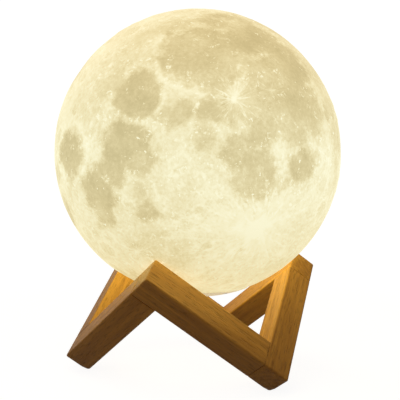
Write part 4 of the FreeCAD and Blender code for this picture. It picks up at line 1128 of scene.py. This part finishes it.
# the tip's level at share r of the radius is low + height (1 - sqrt(1 - 0.96 r^2))
tip_share = np.linspace(0, 1, 9)
tip_level = light_low + TIP_HEIGHT * (1 - np.sqrt(1 - 0.96 * tip_share ** 2))
tip_curve = np.stack([LIGHT_RADIUS * tip_share, tip_level], 1)
collar_top = LID_INSIDE + COLLAR_HEIGHT
collar_line = eased([(LIGHT_RADIUS, LID_INSIDE), (LIGHT_COLLAR, LID_INSIDE),
                     (LIGHT_COLLAR, collar_top), (LIGHT_RADIUS, collar_top),
                     (LIGHT_RADIUS, light_high), (0.0, light_high)],
                    [0, 0.0001, 0.0001, 0, 0.0001, 0])
rod_points, rod_faces = turned(np.concatenate([tip_curve, collar_line]), LIGHT_PLACE, turn_steps=48)
rod = put_mesh("charging_light_rod", rod_points, rod_faces)
rod_look, tree = new_material("clear_polycarbonate_rod")
# Polished and nearly clear, with a trace of haze from the mould.
where = add_node(tree, "ShaderNodeTexCoord")
haze = add_node(tree, "ShaderNodeTexNoise", Vector=where.outputs["Object"], Scale=1200.0,
                Detail=2.0)
rod_gloss = add_node(tree, "ShaderNodeMapRange", Value=haze.outputs["Fac"], To_Min=0.05,
                     To_Max=0.16)
rod_clear = add_node(tree, "ShaderNodeBsdfPrincipled", Base_Color=linear("#EAF0F2"), IOR=1.58,
                     Roughness=rod_gloss.outputs[0], Transmission_Weight=0.7)
add_node(tree, "ShaderNodeOutputMaterial", Surface=rod_clear.outputs[0])
rod.data.materials.append(rod_look)
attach(rod, "moon")
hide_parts("charge_light")

# ------------------------------------------------------------------ the screws
# Three M2 pan-head screws hold the lid to the base's pillars, and two hold the board.
# Each has a shallow domed head, 3.8 mm wide, with a cross recess for the driver.
LID_SCREW_CIRCLE = 0.0226
HEAD_RADIUS = 0.0019
HEAD_HEIGHT = 0.0014
HEAD_DOME = 0.00045
SHANK_RADIUS = 0.0010
RECESS_HALF = 0.00024
RECESS_REACH = 0.00112
RECESS_DEPTH = 0.00068
RECESS_WALL = 0.00008
RECESS_END = 0.0001
RECESS_TAPER = 0.45
screw_low, screw_high = [corner[2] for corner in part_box("cover_screws")]


def pan_head_screw(place, turned_by, low, high, radials=36, turn_steps=96):
    """A screw whose head looks down. Over the head, a point at radius r and angle a stands at
    low + dome (1 - sqrt(1 - r^2)) plus the recess, which is deep where the smaller of |x|
    and |y| is under its half width and the larger under its reach, and shallower outwards."""
    share = np.linspace(0, 0.999, radials)
    line = np.stack([HEAD_RADIUS * share, low + HEAD_DOME * (1 - np.sqrt(1 - share ** 2))], 1)
    back = eased([(HEAD_RADIUS, low + HEAD_DOME), (HEAD_RADIUS, low + HEAD_HEIGHT),
                  (SHANK_RADIUS, low + HEAD_HEIGHT), (SHANK_RADIUS, high), (0.0, high)],
                 [0, 0.00015, 0, 0.0003, 0])
    points, faces = turned(np.concatenate([line, back]), place, turn_steps)
    x, y = points[:, 0] - place[0], points[:, 1] - place[1]
    t = math.radians(turned_by)
    x, y = x * math.cos(t) + y * math.sin(t), y * math.cos(t) - x * math.sin(t)
    side, along = np.minimum(np.abs(x), np.abs(y)), np.maximum(np.abs(x), np.abs(y))
    on_arm = np.clip((RECESS_HALF - side) / RECESS_WALL + 0.5, 0, 1)
    on_arm *= np.clip((RECESS_REACH - along) / RECESS_END, 0, 1)
    deep = RECESS_DEPTH * on_arm * (1 - RECESS_TAPER * along / RECESS_REACH)
    head = points[:, 2] < low + HEAD_DOME
    points[head, 2] += deep[head]
    return points, faces


# a third of a turn apart, and each driven home at an angle of its own
screw_points, screw_faces = [], []
for n, turned_by in enumerate((22, 61, 38)):
    at = math.radians(90 + 120 * n)
    place = LID_SCREW_CIRCLE * math.cos(at), LID_SCREW_CIRCLE * math.sin(at)
    points, faces = pan_head_screw(place, turned_by, screw_low, screw_high)
    screw_faces += [tuple(c + n * len(points) for c in face) for face in faces]
    screw_points.append(points)
screws = put_mesh("lid_screws", np.concatenate(screw_points), screw_faces)
steel_look, tree = new_material("zinc_plated_steel")
# Cold-headed, rolled and plated: bright grey, with duller and darker patches 1 mm across.
where = add_node(tree, "ShaderNodeTexCoord")
patch = add_node(tree, "ShaderNodeTexNoise", Vector=where.outputs["Object"], Scale=900.0,
                 Detail=3.0)
steel_tone = add_node(tree, "ShaderNodeMix", {"data_type": "RGBA"}, Factor=patch.outputs["Fac"],
                      _6=linear("#C4C7CA"), _7=linear("#9FA2A4"))
steel_gloss = add_node(tree, "ShaderNodeMapRange", Value=patch.outputs["Fac"], To_Min=0.25,
                       To_Max=0.48)
steel = add_node(tree, "ShaderNodeBsdfPrincipled", Base_Color=steel_tone.outputs[2], Metallic=1.0,
                 Roughness=steel_gloss.outputs[0])
add_node(tree, "ShaderNodeOutputMaterial", Surface=steel.outputs[0])
screws.data.materials.append(steel_look)
finish_nodes(steel_look, "board_screws")
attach(screws, "moon")
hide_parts("cover_screws")

# ------------------------------------------------------------------ the ring and the button
# A washer of brushed stainless steel is glued in the lid's recess. The button in its
# middle is moulded ABS, dished for a fingertip; a flange behind keeps it in the lid.
RING_BORE = 0.0066
RING_OUTSIDE = 0.0088
RING_STEPS = 128
ring_low, ring_high = [corner[2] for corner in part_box("button_ring")]
section = eased([(RING_OUTSIDE, ring_high), (RING_OUTSIDE, ring_low),
                 (RING_BORE, ring_low), (RING_BORE, ring_high)],
                [0.00005, 0.00022, 0.00018, 0.00005], steps=4)
# the section is turned round an upright axis: the point at angle a is radius (cos a, sin a)
a = np.arange(RING_STEPS) * 2 * math.pi / RING_STEPS
radius, level = section[:, 0], section[:, 1]
ring_points = np.stack([np.outer(radius, np.cos(a)), np.outer(radius, np.sin(a)),
                        np.repeat(level[:, None], RING_STEPS, 1)], -1).reshape(-1, 3)
row, step = np.indices((len(section), RING_STEPS)).reshape(2, -1)
here, ahead = row * RING_STEPS, (row + 1) % len(section) * RING_STEPS
next_step = (step + 1) % RING_STEPS
ring_faces = np.stack([here + step, ahead + step, ahead + next_step, here + next_step], 1)
ring = put_mesh("brushed_ring", ring_points, ring_faces.tolist())
ring_look, tree = new_material("brushed_stainless_steel")
# Brushed on a turntable: fine scratches run round it. They are drawn 0.15 mm apart, five
# times as coarse as real ones, and the light on them fans out from the middle.
where = add_node(tree, "ShaderNodeTexCoord")
flat = add_node(tree, "ShaderNodeVectorMath", {"operation": "MULTIPLY"}, _0=where.outputs["Object"],
                _1=(1.0, 1.0, 0.0))
off = add_node(tree, "ShaderNodeVectorMath", {"operation": "LENGTH"}, _0=flat.outputs[0])
scratch = add_node(tree, "ShaderNodeTexNoise", {"noise_dimensions": "1D"}, W=off.outputs["Value"],
                   Scale=6500.0, Detail=2.0)
ring_tone = add_node(tree, "ShaderNodeMix", {"data_type": "RGBA"}, Factor=scratch.outputs["Fac"],
                     _6=linear("#D2D1CE"), _7=linear("#AEADAA"))
ring_gloss = add_node(tree, "ShaderNodeMapRange", Value=scratch.outputs["Fac"], To_Min=0.24,
                      To_Max=0.44)
ring_bump = add_node(tree, "ShaderNodeBump", Strength=0.25, Distance=0.00002,
                     Height=scratch.outputs["Fac"])
ring_steel = add_node(tree, "ShaderNodeBsdfPrincipled", Base_Color=ring_tone.outputs[2],
                      Metallic=1.0, Roughness=ring_gloss.outputs[0], Normal=ring_bump.outputs[0])
add_node(tree, "ShaderNodeOutputMaterial", Surface=ring_steel.outputs[0])
ring.data.materials.append(ring_look)
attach(ring, "moon")
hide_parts("button_ring")

BUTTON_RADIUS = 0.0059
BUTTON_FLANGE = 0.0073
FLANGE_THICKNESS = 0.001
flange_top = LID_INSIDE + FLANGE_THICKNESS
BUTTON_NUB = 0.0017
DISH_RADIUS = 0.0049
DISH_DEPTH = 0.00030
button_low, button_high = [corner[2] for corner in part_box("power_button")]
# the dish's level at share r of its radius is low + depth (1 - r^2)^1.5
share = np.linspace(0, 1, 17)
dish = np.stack([DISH_RADIUS * share, button_low + DISH_DEPTH * (1 - share ** 2) ** 1.5], 1)
behind = eased([(BUTTON_RADIUS, button_low), (BUTTON_RADIUS, LID_INSIDE),
                (BUTTON_FLANGE, LID_INSIDE), (BUTTON_FLANGE, flange_top),
                (BUTTON_NUB, flange_top), (BUTTON_NUB, button_high), (0.0, button_high)],
               [0.00055, 0, 0.0001, 0.0001, 0, 0.0002, 0], steps=6)
button_points, button_faces = turned(np.concatenate([dish, behind]), (0.0, 0.0), turn_steps=96)
button = put_mesh("dished_button", button_points, button_faces)
button_look, tree = new_material("polished_white_abs_painted_glow")
# Moulded like the lid but in a polished tool, and rubbed glossier in the dish by fingers. It
# glows faintly and warm, painted light like the lid's.
where = add_node(tree, "ShaderNodeTexCoord")
flat = add_node(tree, "ShaderNodeVectorMath", {"operation": "MULTIPLY"}, _0=where.outputs["Object"],
                _1=(1.0, 1.0, 0.0))
off = add_node(tree, "ShaderNodeVectorMath", {"operation": "LENGTH"}, _0=flat.outputs[0])
rubbed = add_node(tree, "ShaderNodeMapRange", Value=off.outputs["Value"], From_Min=0.0,
                  From_Max=BUTTON_RADIUS, To_Min=0.16, To_Max=0.34)
dust = add_node(tree, "ShaderNodeTexNoise", Vector=where.outputs["Object"], Scale=700.0, Detail=3.0)
button_tone = add_node(tree, "ShaderNodeMix", {"data_type": "RGBA"}, Factor=dust.outputs["Fac"],
                       _6=linear("#F4F1E7"), _7=linear("#E9E4D6"))
# the emission is painted light, a faint warm glow as on the lid
button_white_painted_glow = add_node(tree, "ShaderNodeBsdfPrincipled", Base_Color=button_tone.outputs[2],
                        Roughness=rubbed.outputs[0], Emission_Color=linear("#F3DFAE"),
                        Emission_Strength=0.18)
add_node(tree, "ShaderNodeOutputMaterial", Surface=button_white_painted_glow.outputs[0])
button.data.materials.append(button_look)
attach(button, "button")
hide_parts("power_button")
